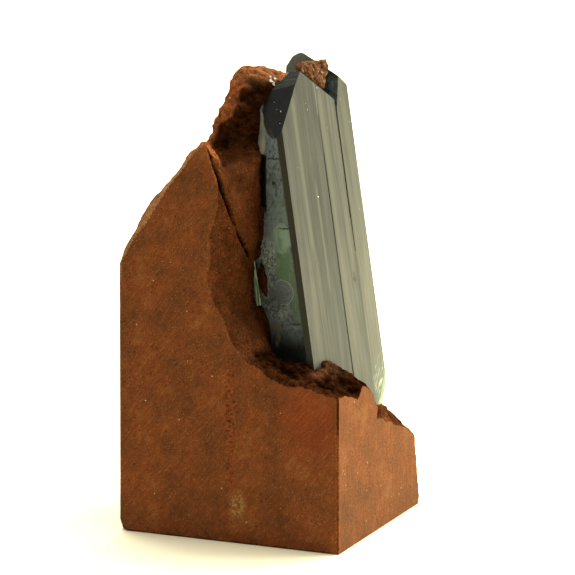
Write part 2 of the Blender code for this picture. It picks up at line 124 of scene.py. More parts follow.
rightward = Vector((math.cos(CAMERA_TURN), math.sin(CAMERA_TURN), 0.0))
forward = Vector(
    (
        -math.sin(CAMERA_TURN) * math.cos(CAMERA_DROP),
        math.cos(CAMERA_TURN) * math.cos(CAMERA_DROP),
        -math.sin(CAMERA_DROP),
    )
)
upward = rightward.cross(forward)
aim = on_stone(0, 0, 0) - rightward * AIM_LEFT + upward * AIM_UP + forward * AIM_DEEPER
camera_data = bpy.data.cameras.new("camera")
camera_data.sensor_width = SENSOR
camera_data.lens = SENSOR * CAMERA_AWAY / SEEN_WIDTH
camera_data.clip_start, camera_data.clip_end = 0.1, 10.0
camera = bpy.data.objects.new("camera", camera_data)
scene.collection.objects.link(camera)
turned = Matrix((rightward, upward, -forward)).transposed().to_4x4()
camera.matrix_world = Matrix.Translation(aim - forward * CAMERA_AWAY) @ turned
scene.camera = camera
scene.view_settings.view_transform = "Standard"
print("lens, mm:", round(camera_data.lens, 1))

# %% [markdown]
# ## A node helper and true colours
#
# Every finish below is a node tree, so one small function adds a node with its settings and links.
# Colours are written as the hex values that a picture editor shows, and one function turns them
# to the linear values that light is worked out with.

# %% Helpers for finishes


def linear(hex_colour):
    """A #rrggbb colour as linear RGBA."""
    shares = [int(hex_colour[i : i + 2], 16) / 255 for i in (1, 3, 5)]
    return [c / 12.92 if c <= 0.04045 else ((c + 0.055) / 1.055) ** 2.4 for c in shares] + [1.0]


def linear_tone(tone):
    """Linear RGBA of a #rrggbb colour or of a grey level."""
    return linear(tone) if isinstance(tone, str) else (tone, tone, tone, 1.0)


def set_inputs(tree, node, inputs):
    """Sets a node's inputs: a value, a #rrggbb colour, an output, or a node for its first output."""
    for name, value in inputs.items():
        if isinstance(value, bpy.types.Node):
            value = value.outputs[0]
        if isinstance(value, bpy.types.NodeSocket):
            tree.links.new(value, node.inputs[name])
        else:
            node.inputs[name].default_value = linear(value) if isinstance(value, str) else value


def add_node(tree, kind, inputs=None, stops=(), **settings):
    """Adds one node with its settings, inputs and ramp stops. A stop is a place and a tone."""
    made = tree.nodes.new("ShaderNode" + kind)
    for name, value in settings.items():
        setattr(made, name, value)
    set_inputs(tree, made, inputs or {})
    for i, (place, tone) in enumerate(stops):
        elements = made.color_ramp.elements
        stop = elements[i] if i < len(elements) else elements.new(place)
        stop.position = place
        stop.color = linear_tone(tone)
    return made


def start_finish(name):
    """A new material: its tree, its shader, and object coordinates in millimetres."""
    made = bpy.data.materials.new(name)
    made.use_nodes = True
    tree = made.node_tree
    shader = tree.nodes["Principled BSDF"]
    coords = add_node(tree, "TexCoord")
    scaled = add_node(
        tree, "VectorMath", {0: coords.outputs["Object"], "Scale": 1 / MM}, operation="SCALE"
    )
    return made, tree, shader, scaled


def coat(tree, shader, colour, roughness, bumps=(), more=()):
    """Gives a finish its colour, its roughness, its bumps and any other inputs of its shader.

    A bump is a height pattern, a strength and a depth in millimetres. Each lies over the last."""
    inputs = {"Base Color": colour, "Roughness": roughness, **dict(more)}
    for height, strength, depth in bumps:
        parts = {"Height": height, "Strength": strength, "Distance": depth * MM}
        if "Normal" in inputs:
            parts["Normal"] = inputs["Normal"]
        inputs["Normal"] = add_node(tree, "Bump", parts)
    set_inputs(tree, shader, inputs)


def crystal_coords(tree):
    """Places across, into and along the crystals, in millimetres."""
    coords = add_node(tree, "TexCoord")
    turned_back = add_node(
        tree,
        "Mapping",
        {
            "Vector": coords.outputs["Object"],
            "Location": on_stone(*FACE_FOOT),
            "Rotation": (math.radians(-LEAN), 0.0, math.radians(FACE_TURN)),
            "Scale": (MM, MM, MM),
        },
        vector_type="TEXTURE",
    )
    return turned_back


def product(tree, *masks):
    """Masks multiplied together, so that they hold where all of them do. Numbers weaken them."""
    found = masks[0]
    for mask in masks[1:]:
        found = add_node(tree, "Math", {0: found, 1: mask}, operation="MULTIPLY")
    return found


def laid_over(tree, below, above, *masks):
    """One colour laid over another, as strongly as its masks multiplied together."""
    shares = {0: product(tree, *masks), 6: below, 7: above}
    return add_node(tree, "Mix", shares, data_type="RGBA").outputs[2]


def toned(tree, colour, pattern, stops, share=1.0):
    """A colour made darker or lighter by a pattern. The stops say by how much at each value."""
    light = add_node(tree, "ValToRGB", {0: pattern}, stops=stops)
    parts = {0: share, 6: colour, 7: light}
    return add_node(tree, "Mix", parts, data_type="RGBA", blend_type="MULTIPLY").outputs[2]


def lit_by(tree, colour, light):
    """A colour multiplied by one number, which may be over one."""
    white = add_node(tree, "CombineColor", {0: light, 1: light, 2: light})
    parts = {0: 1.0, 6: colour, 7: white}
    return add_node(tree, "Mix", parts, data_type="RGBA", blend_type="MULTIPLY").outputs[2]


print("ochre in linear light:", [round(c, 3) for c in linear("#b0763f")])

# %% [markdown]
# ## Studio
#
# The floor is a plain white sweep and the light is soft.
# A broad panel on the right lights the small sawn face and mirrors in the striated faces, which is
# what makes dark vivianite look silvery. A second panel high behind gives the stone its bright rim.
# Nothing stands in front, so the faces that look that way stay nearly black.

# %% Studio
PANELS = {
    # name: (direction it stands in, distance, width, height, watts)
    "key panel": ((0.66, 0.72, 0.36), 0.95, 0.9, 0.62, 23.0),
    "back panel": ((-0.55, 0.75, 0.75), 1.0, 1.1, 0.8, 13.0),
    "top panel": ((0.1, 0.1, 1.0), 1.0, 0.9, 0.9, 13.0),
}
MIDDLE = Vector((0.0, 0.0, 33 * MM))
WARM_WHITE = (1.0, 0.99, 0.9)


def hang_panel(name, direction, distance, width, height, watts):
    lamp = bpy.data.lights.new(name, "AREA")
    lamp.shape = "RECTANGLE"
    lamp.size, lamp.size_y, lamp.energy = width, height, watts
    lamp.color = WARM_WHITE
    hung = bpy.data.objects.new(name, lamp)
    scene.collection.objects.link(hung)
    towards = Vector(direction).normalized()
    hung.location = MIDDLE + towards * distance
    hung.rotation_euler = (-towards).to_track_quat("-Z", "Y").to_euler()
    return hung


for panel, facts in PANELS.items():
    hang_panel(panel, *facts)

world = bpy.data.worlds.new("white room")
scene.world = world
world.use_nodes = True
room = world.node_tree
room.nodes.clear()
ROOM_LIGHT = 0.22
seen = add_node(room, "LightPath")
dim = add_node(room, "Background", {"Color": linear_tone(1.0), "Strength": ROOM_LIGHT})
white = add_node(room, "Background", {"Color": linear_tone(1.0), "Strength": 1.0})
either = add_node(room, "MixShader", {0: seen.outputs["Is Camera Ray"], 1: dim, 2: white})
add_node(room, "OutputWorld", {"Surface": either})
print("panels:", list(PANELS), "and a room at", ROOM_LIGHT)

# %% Floor
FLOOR_REACH = 0.9
FLOOR_GAP = 0.02 * MM  # keeps the floor clear of the sawn base


def new_piece(name, bm, *finishes):
    """Puts a bmesh in the scene as an object with these finishes."""
    made_mesh = bpy.data.meshes.new(name)
    bm.to_mesh(made_mesh)
    bm.free()
    for finish in finishes:
        made_mesh.materials.append(finish)
    made = bpy.data.objects.new(name, made_mesh)
    scene.collection.objects.link(made)
    print(name, len(made_mesh.polygons), "faces")
    return made


paper, tree, shader, _ = start_finish("white paper sweep")
coat(tree, shader, "#fff8d6", 0.8, more={"Specular IOR Level": 0.1})
bm = bmesh.new()
bmesh.ops.create_grid(bm, x_segments=8, y_segments=8, size=FLOOR_REACH)
floor = new_piece("floor", bm, paper)
floor.location.z = -FLOOR_GAP
print("floor reaches, m:", FLOOR_REACH)

# %% [markdown]
# ## Ironstone
#
# The matrix is a fine sandy ironstone: quartz grains of 0.15 to 0.3 mm in brown iron oxide.
# Sawing leaves a flat, dull face with faint arcs from the blade, and breaking leaves small shells
# and ledges. Iron oxide is darker where a hollow was never rubbed, and paler on worn edges. On the
# broken stone here, the darker hollows also hold painted shade, and the paler rims painted highlight.
# Image textures would have to match at every edge. Noise at 5, 0.75 and 0.15 mm makes patches,
# mottles and grain instead, and scattered cells make the larger grains, glints and pits.

# %% Ironstone finishes
BROWNS = ((0.32, "#5a331a"), (0.46, "#673b1f"), (0.56, "#723d1f"), (0.70, "#7a4c29"))
DULL = 0.95  # roughness of the stone
GRAIN_MM = 0.15
MOTTLE_MM = 0.75
PATCH_MM = 5.0


def sand_specks(tree, place, cell_mm, radius, share):
    """Scattered grains, as a mask. share is the part of the cells that holds one."""
    cells = add_node(tree, "TexVoronoi", {"Vector": place, "Scale": 1 / cell_mm})
    near = add_node(
        tree, "Math", {0: cells.outputs["Distance"], 1: radius / cell_mm}, operation="LESS_THAN"
    )
    drawn = add_node(tree, "SeparateColor", {0: cells.outputs["Color"]})
    chosen = add_node(tree, "Math", {0: drawn, 1: share}, operation="LESS_THAN")
    return add_node(tree, "Math", {0: near, 1: chosen}, operation="MULTIPLY")


def ironstone_colour(tree, place, contrast=1.0):
    """Patches of brown, sand grains, pale glints and dark pits. Also returns the grain pattern."""
    patches = add_node(
        tree, "TexNoise", {"Vector": place, "Scale": 1 / PATCH_MM, "Detail": 4.0, "Roughness": 0.62}
    )
    browns = add_node(tree, "ValToRGB", {0: patches}, stops=BROWNS)
    mottle = add_node(
        tree, "TexNoise", {"Vector": place, "Scale": 1 / MOTTLE_MM, "Detail": 3.0, "Roughness": 0.7}
    )
    swing = 0.16 * contrast
    colour = toned(tree, browns, mottle, ((0.34, 1 - swing), (0.66, 1 + swing)))
    grains = add_node(
        tree, "TexNoise", {"Vector": place, "Scale": 1 / GRAIN_MM, "Detail": 3.0, "Roughness": 0.7}
    )
    speckle = ((0.30, 1 - 0.5 * contrast), (0.50, 0.98), (0.70, 1 + 0.6 * contrast))
    colour = toned(tree, colour, grains, speckle)
    pits = sand_specks(tree, place, 0.7, 0.16, 0.22)
    colour = laid_over(tree, colour, "#351808", pits, 0.5 * contrast)
    tan_grains = sand_specks(tree, place, 0.42, 0.1, 0.5)
    colour = laid_over(tree, colour, "#a8713f", tan_grains, 0.32 * contrast)
    glints = sand_specks(tree, place, 1.3, 0.11, 0.16)
    return laid_over(tree, colour, "#d2b48a", glints, 0.75), grains


print("grains, mm:", GRAIN_MM, "mottle, mm:", MOTTLE_MM, "patches, mm:", PATCH_MM)

# %% Soft spots


def spot(tree, place, centre, size, soft=0.4):
    """One inside an ellipsoid and zero outside it, with a soft edge. Sizes are radii."""
    off = add_node(tree, "VectorMath", {0: place, 1: centre}, operation="SUBTRACT")
    scaled = add_node(tree, "VectorMath", {0: off, 1: size}, operation="DIVIDE")
    far = add_node(tree, "VectorMath", {0: scaled}, operation="LENGTH")
    return add_node(
        tree,
        "MapRange",
        {"Value": far.outputs["Value"], "From Min": 1.0 + soft, "From Max": 1.0 - soft},
        interpolation_type="SMOOTHSTEP",
    )


def warped(tree, place, size_mm, amount_mm, detail=2.0):
    """Places shifted about by noise, so that what is drawn with them has a natural edge."""
    shift = add_node(
        tree, "TexNoise", {"Vector": place, "Scale": 1 / size_mm, "Detail": detail, "Roughness": 0.6}
    )
    middle = add_node(
        tree, "VectorMath", {0: shift.outputs["Color"], 1: (0.5, 0.5, 0.5)}, operation="SUBTRACT"
    )
    return add_node(
        tree, "VectorMath", {0: middle, 1: (2 * amount_mm,) * 3, 2: place}, operation="MULTIPLY_ADD"
    )


def threshold(tree, value, start, end):
    """A mask that is zero where the value is at start and one where it is at end."""
    return add_node(
        tree,
        "MapRange",
        {"Value": value, "From Min": start, "From Max": end},
        interpolation_type="SMOOTHSTEP",
    )


def distance_from(tree, value, middle):
    """How far one value lies from another, on either side."""
    off = add_node(tree, "Math", {0: value, 1: middle}, operation="SUBTRACT")
    return add_node(tree, "Math", {0: off}, operation="ABSOLUTE")


def brushed(tree, place, turn_degrees, widths, detail=2.0):
    """Noise drawn out along one direction: turned about Y, then squeezed by widths."""
    turned_place = add_node(
        tree,
        "VectorRotate",
        {"Vector": place, "Angle": math.radians(turn_degrees)},
        rotation_type="Y_AXIS",
    )
    squeezed = add_node(tree, "VectorMath", {0: turned_place, 1: widths}, operation="DIVIDE")
    return add_node(
        tree, "TexNoise", {"Vector": squeezed, "Scale": 1.0, "Detail": detail, "Roughness": 0.6}
    )


print("helpers for masks:", [made.__name__ for made in (spot, warped, threshold, brushed)])

# %% Sawn stone
VEIN_AT, VEIN_SIZE = (0.2, 0.0, 17.5), (0.85, 400.0, 10.5)
PALE_AT, PALE_SIZE = (1.3, 0.0, 5.6), (1.0, 400.0, 1.7)
RED_AT, RED_SIZE = (12.6, -15.0, 19.0), (4.6, 3.0, 5.0)

sawn_stone, tree, shader, place = start_finish("sawn ironstone")
colour, grains = ironstone_colour(tree, place)
natural = warped(tree, place, 2.5, 0.9)
red_patch = spot(tree, natural, RED_AT, RED_SIZE, 0.5)
colour = laid_over(tree, colour, "#80381a", red_patch, 0.45)
vein = spot(tree, natural, VEIN_AT, VEIN_SIZE, 0.5)
vein_grain = add_node(
    tree, "TexNoise", {"Vector": place, "Scale": 1 / 0.5, "Detail": 3.0, "Roughness": 0.6}
)
colour = laid_over(tree, colour, "#8c4523", vein, threshold(tree, vein_grain, 0.42, 0.6), 0.6)
pitted = add_node(
    tree, "TexNoise", {"Vector": place, "Scale": 1 / 0.33, "Detail": 3.0, "Roughness": 0.7}
)
colour = laid_over(tree, colour, "#37160a", vein, threshold(tree, pitted, 0.54, 0.6), 0.85)
pale_spot = spot(tree, natural, PALE_AT, PALE_SIZE, 0.6)
colour = laid_over(tree, colour, "#a98f58", pale_spot, threshold(tree, pitted, 0.42, 0.62), 0.6)
print("spots on the large sawn face, mm:", VEIN_AT, PALE_AT, RED_AT)

# %% Saw marks
SAW_TURN = -38.0  # degrees from level at which the blade crossed the large face
SAW_DEPTH = 0.05  # how deep the marks look

facing = add_node(tree, "NewGeometry")
ways = add_node(tree, "SeparateXYZ", {0: facing.outputs["True Normal"]})
to_side = add_node(tree, "Math", {0: ways}, operation="ABSOLUTE")
swept = warped(tree, place, 7.0, 1.1)
front_marks = brushed(tree, swept, SAW_TURN, (0.16, 4.0, 2.2), 3.0)
side_marks = brushed(tree, place, 0.0, (4.0, 0.22, 5.0), 3.0)
marks = add_node(tree, "Mix", {0: to_side, 2: front_marks, 3: side_marks}, data_type="FLOAT")
saw_light = ((0.32, 0.72), (0.48, 0.98), (0.56, 1.0), (0.70, 1.35))
colour = toned(tree, colour, marks, saw_light, 0.7)
colour = laid_over(tree, colour, "#9c5630", threshold(tree, marks, 0.6, 0.68), 0.22)

# The small sawn face is browner, and darker towards its base. The large one is lighter towards
# its base.
height = add_node(tree, "SeparateXYZ", {0: place}).outputs[2]
darker_low = add_node(
    tree,
    "MapRange",
    {"Value": height, "From Min": 0.0, "From Max": 24.0, "To Min": 0.82, "To Max": 1.0},
)
side_colour = laid_over(tree, lit_by(tree, colour, darker_low), "#6d4a25", 0.3)
colour = laid_over(tree, colour, side_colour, to_side)
lighter_low = add_node(
    tree,
    "MapRange",
    {"Value": height, "From Min": 2.0, "From Max": 22.0, "To Min": 1.13, "To Max": 0.94},
)
on_front = add_node(tree, "Math", {0: 1.0, 1: to_side}, operation="SUBTRACT")
colour = laid_over(tree, colour, lit_by(tree, colour, lighter_low), on_front)
bumps = ((grains, 0.8, 0.06), (marks, 0.6, SAW_DEPTH))
coat(tree, shader, colour, DULL, bumps, {"Specular IOR Level": 0.1})
print("saw marks cross the large face at", SAW_TURN, "degrees")

# %% Broken stone
# How light the broken stone is painted for its film and painted shade: paler where there is none.
FILM_AND_SHADE_TONES = ((0.0, 1.6), (0.15, 1.08), (0.35, 0.72), (0.6, 0.38), (0.86, 0.15), (1.0, 0.04))
LIT_AND_WORN_TONES = ((0.32, 0.45), (0.5, 0.95), (0.68, 1.5))

broken_stone, tree, shader, place = start_finish("broken ironstone")
colour, grains = ironstone_colour(tree, place, 1.35)
film_and_shade_mask = add_node(tree, "Attribute", attribute_name="film_and_shade").outputs["Fac"]
colour = toned(tree, colour, film_and_shade_mask, FILM_AND_SHADE_TONES)
# Pale rims and tops: painted highlight where light catches them, and some wear.
lit_and_worn_mask = add_node(tree, "Attribute", attribute_name="lit_and_worn").outputs["Fac"]
fibres = threshold(tree, brushed(tree, place, 50.0, (0.25, 0.5, 1.6), 3.0), 0.3, 0.6)
lit_and_worn_colour = toned(tree, "#bd9068", grains, LIT_AND_WORN_TONES)
colour = laid_over(tree, colour, lit_and_worn_colour, lit_and_worn_mask, fibres, 0.75)
grit = add_node(tree, "TexNoise", {"Vector": place, "Scale": 1 / 0.4, "Detail": 4.0, "Roughness": 0.7})
bumps = ((grit, 0.9, 0.35), (grains, 1.0, 0.16))
coat(tree, shader, colour, DULL, bumps, {"Specular IOR Level": 0.0})
print("stone finishes:", sawn_stone.name, "and", broken_stone.name)

# %% [markdown]
# ## The stone's own surface
#
# A decimated solid has broad facets where real stone has small shells and grit.
# The block is wrapped in an even skin of quarter-millimetre faces, its facets are eased, and relief
# at three sizes is pushed out where the stone was broken. The sawn faces stay flat.
# A Displace modifier could do this too, but in code the relief can fade out towards the saw cuts.

# %% Skin helpers
WELD = 0.0001 * MM
EASE_STEP = 0.6


def bake(target):
    """Replaces the target's mesh by what its modifiers make of it."""
    graph = bpy.context.evaluated_depsgraph_get()
    made = bpy.data.meshes.new_from_object(target.evaluated_get(graph))
    target.modifiers.clear()
    target.data = made


def wrapped(node, name, grain):
    """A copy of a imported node, wrapped in an even skin of small faces."""
    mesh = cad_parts[node].data.copy()
    bm = bmesh.new()
    bm.from_mesh(mesh)
    bmesh.ops.remove_doubles(bm, verts=bm.verts, dist=WELD)
    bm.to_mesh(mesh)
    bm.free()
    mesh.materials.clear()
    made = bpy.data.objects.new(name, mesh)
    scene.collection.objects.link(made)
    skin = made.modifiers.new("skin", "REMESH")
    skin.mode = "VOXEL"
    skin.voxel_size = grain * MM
    bake(made)
    return made


def places_of(mesh):
    """The vertices' places, as one row each."""
    found = np.empty(len(mesh.vertices) * 3)
    mesh.vertices.foreach_get("co", found)
    return found.reshape(-1, 3)


def normals_of(mesh):
    """The vertices' normals, as one row each."""
    found = np.empty(len(mesh.vertices) * 3)
    mesh.vertices.foreach_get("normal", found)
    return found.reshape(-1, 3)


def put_places(mesh, places):
    mesh.vertices.foreach_set("co", places.ravel())
    mesh.update()


def eased(mesh, places, free, rounds):
    """Places moved towards their neighbours' average, by how free each one is."""
    ends = np.empty(len(mesh.edges) * 2, np.int32)
    mesh.edges.foreach_get("vertices", ends)
    a, b = ends.reshape(-1, 2).T
    count = np.bincount(a, minlength=len(places)) + np.bincount(b, minlength=len(places))
    for _ in range(rounds):
        total = np.zeros_like(places)
        for axis in range(3):
            total[:, axis] = np.bincount(a, places[b, axis], len(places)) + np.bincount(
                b, places[a, axis], len(places)
            )
        places = places + (total / count[:, None] - places) * free[:, None] * EASE_STEP
    return places


def add_mask(mesh, name, values):
    """Keeps a number from 0 to 1 on each vertex, for a finish to read."""
    made = mesh.attributes.new(name, "FLOAT", "POINT")
    made.data.foreach_set("value", values.astype(np.float32))


def smooth_step(value, low, high):
    t = np.clip((value - low) / (high - low), 0.0, 1.0)
    return t * t * (3 - 2 * t)


def stony(point, bumps, bowls):
    """How far broken stone stands out at a place, in millimetres."""
    height = 0.0
    for size, amount in bumps:
        height += noise.noise(point / (size * MM)) * amount
    for size, amount in bowls:
        height += (noise.voronoi(point / (size * MM))[0][0] - 0.5) * amount
    return height


print("a vertex moves at most", EASE_STEP, "of the way to its neighbours in one round")

# %% Skin of the block
BLOCK_GRAIN = 0.26
SAWN_WITHIN = 0.05 * MM  # a vertex this near a saw cut lies on it
FAR_OFF = 9.0  # further from a saw cut than matters

block = wrapped("matrix_block", "ironstone_block", BLOCK_GRAIN)
mesh = block.data
places = places_of(mesh)
normals = normals_of(mesh)
low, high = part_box("matrix_block")
SAWN_PLANES = ((0, high.x, 1), (0, low.x, -1), (1, low.y, -1), (2, low.z, -1))
off_saw = np.full(len(places), FAR_OFF)
sawn = np.zeros(len(places), bool)
for axis, at, outward in SAWN_PLANES:
    away = np.abs(places[:, axis] - at)
    off_saw = np.minimum(off_saw, away / MM)
    sawn |= (away < SAWN_WITHIN) & (normals[:, axis] * outward > 0.9)
print("block:", len(places), "vertices,", int(sawn.sum()), "on the saw cuts")

# %% Relief of the broken stone
BROKEN_BUMPS = ((2.0, 0.2), (0.9, 0.2), (0.55, 0.2))  # size, height in mm
BROKEN_BOWLS = ((1.7, 0.3), (0.8, 0.2))
SUNK = 0.05  # the broken skin lies this much lower, so that its bumps stay inside the solid's box
CALMER = 0.65  # how much of the relief the smooth wall behind the crystals lacks


def stone_frame(places):
    """How far left, back and up each place lies on the stone, in millimetres."""
    left = BLOCK_WIDTH / 2 - places[:, 0] / MM
    back = BLOCK_DEPTH / 2 + places[:, 1] / MM
    return left, back, places[:, 2] / MM


left, back, up = stone_frame(places)
free = np.where(sawn, 0.0, smooth_step(off_saw, 0.0, 0.7))
places = eased(mesh, places, free, 7)
rubbed_edge = (left > 15.0) & (left < 22.5) & (up > 26.0) & (up < 57.5) & (back < 4.0)
places = eased(mesh, places, np.where(rubbed_edge, 0.9, 0.0), 26)
put_places(mesh, places)
normals = normals_of(mesh)
calm = smooth_step(left, 8.0, 12.0) * (1 - smooth_step(back, 10.5, 13.0))
calm *= smooth_step(up, 26.0, 30.0)
calm *= 1 - smooth_step(up, 53.0, 56.0)
amount = free * (1.0 - CALMER * calm)
heights = np.array([stony(Vector(p), BROKEN_BUMPS, BROKEN_BOWLS) for p in places])
heights = heights - heights.mean() - SUNK
places = places + normals * (heights * amount * MM)[:, None]
places = np.clip(places, np.array(low), np.array(high))
put_places(mesh, places)
print("relief, mm:", round(float(heights.min()), 2), "to", round(float(heights.max()), 2))

# %% [markdown]
# ## Cracks and seats
#
# A natural crack runs down between the pillar and the fragment beside it, and finer ones branch off.
# A crack is pressed into the skin along a path, deepest in its middle.
# The solids keep a clear gap round each crystal, which a real crystal doesn't have. So the skin near
# a crystal is drawn onto it, apart from one stretch where stone and crystal have really parted.

# %% Natural cracks
CRACKS = (
    # half width, depth, places on the stone
    (
        0.42,
        1.0,
        (
            (19.9, 0.0, 57.4),
            (19.3, 0.4, 55.2),
            (18.2, 0.6, 51.6),
            (17.5, 2.5, 47.6),
            (16.85, 4.3, 43.8),
            (16.55, 5.8, 41.7),
            (16.8, 8.2, 39.7),
        ),
    ),
    (0.26, 0.25, ((17.85, 2.2, 51.2), (17.6, 3.4, 52.3), (17.5, 4.6, 53.0))),
    (0.2, 0.2, ((17.8, 1.9, 50.6), (17.7, 2.6, 51.3))),
)
CRACK_SHADE_GAIN = 2.2  # how soon a crack is painted dark with painted shade and film, from its edge inwards


def distance_to_path(path, points):
    """How far each point lies from a run of straight lines, in millimetres."""
    nearest = np.full(len(points), np.inf)
    spots = [np.array(on_stone(*place)) for place in path]
    for start, end in zip(spots, spots[1:]):
        run = end - start
        share = np.clip((points - start) @ run / (run @ run), 0.0, 1.0)
        gap = np.linalg.norm(points - start - share[:, None] * run, axis=1)
        nearest = np.minimum(nearest, gap)
    return nearest / MM


normals = normals_of(mesh)
crack_shade = np.zeros(len(places))
# Each crack is pressed in and painted dark inside: painted shade, with film.
for half, depth, path in CRACKS:
    inside = np.clip(1 - distance_to_path(path, places) / half, 0.0, 1.0)
    places = places - normals * (inside * depth * MM)[:, None]
    crack_shade = np.maximum(crack_shade, np.minimum(min(1.0, 2 * depth), inside * CRACK_SHADE_GAIN))
put_places(mesh, places)
print("vertices in the cracks:", int((crack_shade > 0).sum()))

# %% Close the seats of the crystals
SEAT_REACH = 0.75 * MM
SEAT_SINK = 0.06  # how far the skin is drawn into a crystal
OPEN_SEAM = (23.4, 30.6)  # the stretch along the left side where the stone has parted from it


def crystal_tree():
    """One search tree over the two large crystals."""
    verts, faces = [], []
    for node in ("front_crystal", "rear_crystal"):
        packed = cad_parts[node].data
        start = len(verts)
        verts += [v.co.copy() for v in packed.vertices]
        faces += [[start + i for i in p.vertices] for p in packed.polygons]
    return BVHTree.FromPolygons(verts, faces)


crystals = crystal_tree()
to_crystal = CRYSTAL_FRAME.inverted()
closed = 0
for i, place in enumerate(places):
    if free[i] < 0.3:
        continue
    hit, outward, _, _ = crystals.find_nearest(Vector(place), SEAT_REACH)
    if hit is None:
        continue
    across, into, along = (to_crystal @ hit) / MM
    if across < 0 and OPEN_SEAM[0] < along < OPEN_SEAM[1]:
        continue
    places[i] = hit - outward * SEAT_SINK * MM
    closed += 1
put_places(mesh, places)
print("seat vertices closed on the crystals:", closed)

# %% [markdown]
# ## Dark film and painted shade
#
# Hollows that were never rubbed keep a dark film of iron oxide, and bumps and edges lose it.
# The darkening here is that film and painted shade together. Twenty rays from each vertex tell how
# much of the sky it can't see, as baking occlusion would, and sheltered stone is painted darker.
# A few regions are darker still, with painted shade where the crystals and the ridge shade them:
# the recess under the upper lump, the scooped wall, and the ledge. Rims and tops that catch the
# light are painted paler: painted highlight, with some wear.
# Both masks are kept on the vertices, so the finish of the broken stone can read them.

# %% Shelter of each vertex
RAYS = 20
RAY_REACH = 14 * MM
RAY_START = 0.15  # clear of the skin itself


def ray_fan(count):
    """Directions spread evenly over a half sphere, crowded towards its pole."""
    fan = []
    for i in range(count):
        rise = math.sqrt(1 - (i + 0.5) / count)
        out = math.sqrt(1 - rise * rise)
        turn = i * math.pi * (3 - math.sqrt(5))
        fan.append(Vector((out * math.cos(turn), out * math.sin(turn), rise)))
    return fan


def shelter(mesh, chosen, trees):
    """The share of the sky that each chosen vertex can't see."""
    fan = ray_fan(RAYS)
    hidden = np.zeros(len(mesh.vertices))
    for i in np.flatnonzero(chosen):
        vert = mesh.vertices[int(i)]
        turn = vert.normal.to_track_quat("Z", "Y")
        start = vert.co + vert.normal * RAY_START * MM
        for ray in fan:
            towards = turn @ ray
            if any(tree.ray_cast(start, towards, RAY_REACH)[0] for tree in trees):
                hidden[i] += 1
    return hidden / RAYS


own_tree = BVHTree.FromPolygons(
    [v.co for v in mesh.vertices], [list(p.vertices) for p in mesh.polygons]
)
recess = shelter(mesh, ~sawn, (own_tree, crystals))
recess = eased(mesh, np.repeat(recess[:, None], 3, 1), np.where(sawn, 0.0, 1.0), 3)[:, 0]
print("mean shelter of broken stone:", round(float(recess[~sawn].mean()), 3))

# %% Regions of the film and painted shade
RIDGE_UP = (50.0, 57.2, 58.7, 60.7, 62.8, 64.3)
RIDGE_LEFT = (26.0, 24.5, 22.5, 22.4, 21.8, 20.9)
PATCHY_MM = 2.4


def between(value, start, end, soft):
    """One from start to end, falling off softly outside."""
    return smooth_step(value, start - soft, start + soft) * (
        1 - smooth_step(value, end - soft, end + soft)
    )


def below(value, start, end):
    """One up to start, falling off to zero at end."""
    return 1 - smooth_step(value, start, end)


places = places_of(mesh)
left, back, up = stone_frame(places)
looks_up = eased(mesh, normals_of(mesh), np.ones(len(places)), 14)[:, 2]
patchy = np.array([noise.noise(Vector(p) / (PATCHY_MM * MM)) for p in places])

niche = smooth_step(np.interp(up, RIDGE_UP, RIDGE_LEFT) - left + 0.5 * patchy, -0.1, 0.6)
niche *= smooth_step(up + 0.6 * patchy, 53.2, 54.4) * smooth_step(back, 1.8, 3.2)
niche *= 1 - smooth_step(looks_up, 0.4, 0.75) * smooth_step(up, 58.0, 60.0)
niche *= below(back, 19.0, 21.0)
scoop = between(left, 13.5, 20.4, 1.6) * between(up, 27.5, 56.0, 2.0)
scoop *= below(back, 13.0, 15.0)
ledge = below(left, 13.0, 17.0) * below(up, 27.0, 29.5)
ledge *= below(back, 13.0, 15.5) * smooth_step(up, 16.5, 19.0)
ledge_slope = ledge * (below(left, 2.0, 4.5) * smooth_step(back, 7.0, 9.0))
brow = below(left, 2.5, 4.5) * smooth_step(back, 14.5, 16.0) * smooth_step(up, 6.0, 9.0)
lip = between(left, 0.5, 6.2, 0.8) * between(back, 4.0, 9.0, 1.0) * smooth_step(up, 23.6, 25.0)
print("vertices in the recess and the scoop:", int((niche > 0.5).sum()), int((scoop > 0.5).sum()))

# %% Film of iron oxide with painted shade, and lit and worn edges
# Painted shade over the film: the recess under the ridge, the scooped wall and the ledge lie in the
# shade of the ridge and the crystals, and the brow on the right side is darker too.
DARK_AND_SHADED_REGIONS = (
    (niche, 0.76),
    (scoop, 0.5 + 0.1 * patchy),
    (ledge, 0.68 + 0.2 * smooth_step(back, 0.8, 3.2) + 0.14 * patchy),
    (ledge_slope, 0.7 + 0.2 * patchy),
    (brow, 0.5 + 0.2 * patchy),
)
# Stone sheltered by itself and by the crystals is painted darker: painted shade, with the film.
oxide_film_and_shade = 0.15 + 0.6 * smooth_step(recess, 0.3, 0.9)
for region, strength in DARK_AND_SHADED_REGIONS:
    oxide_film_and_shade = np.maximum(oxide_film_and_shade, region * strength)
oxide_film_and_shade *= 1 - 0.62 * lip
# Painted light and shade: stone high up is painted lighter where light from above falls on it, and the
# relief's bumps lighter and its hollows darker.
oxide_film_and_shade -= 0.2 * smooth_step(up, 50.0, 53.0) * (1 - niche) * (1 - scoop)
oxide_film_and_shade -= np.clip(heights * amount, -0.35, 0.35) * (0.7 - 0.3 * niche)
oxide_film_and_shade = np.where(sawn, 0.0, np.clip(np.maximum(oxide_film_and_shade, crack_shade), 0.0, 1.0))

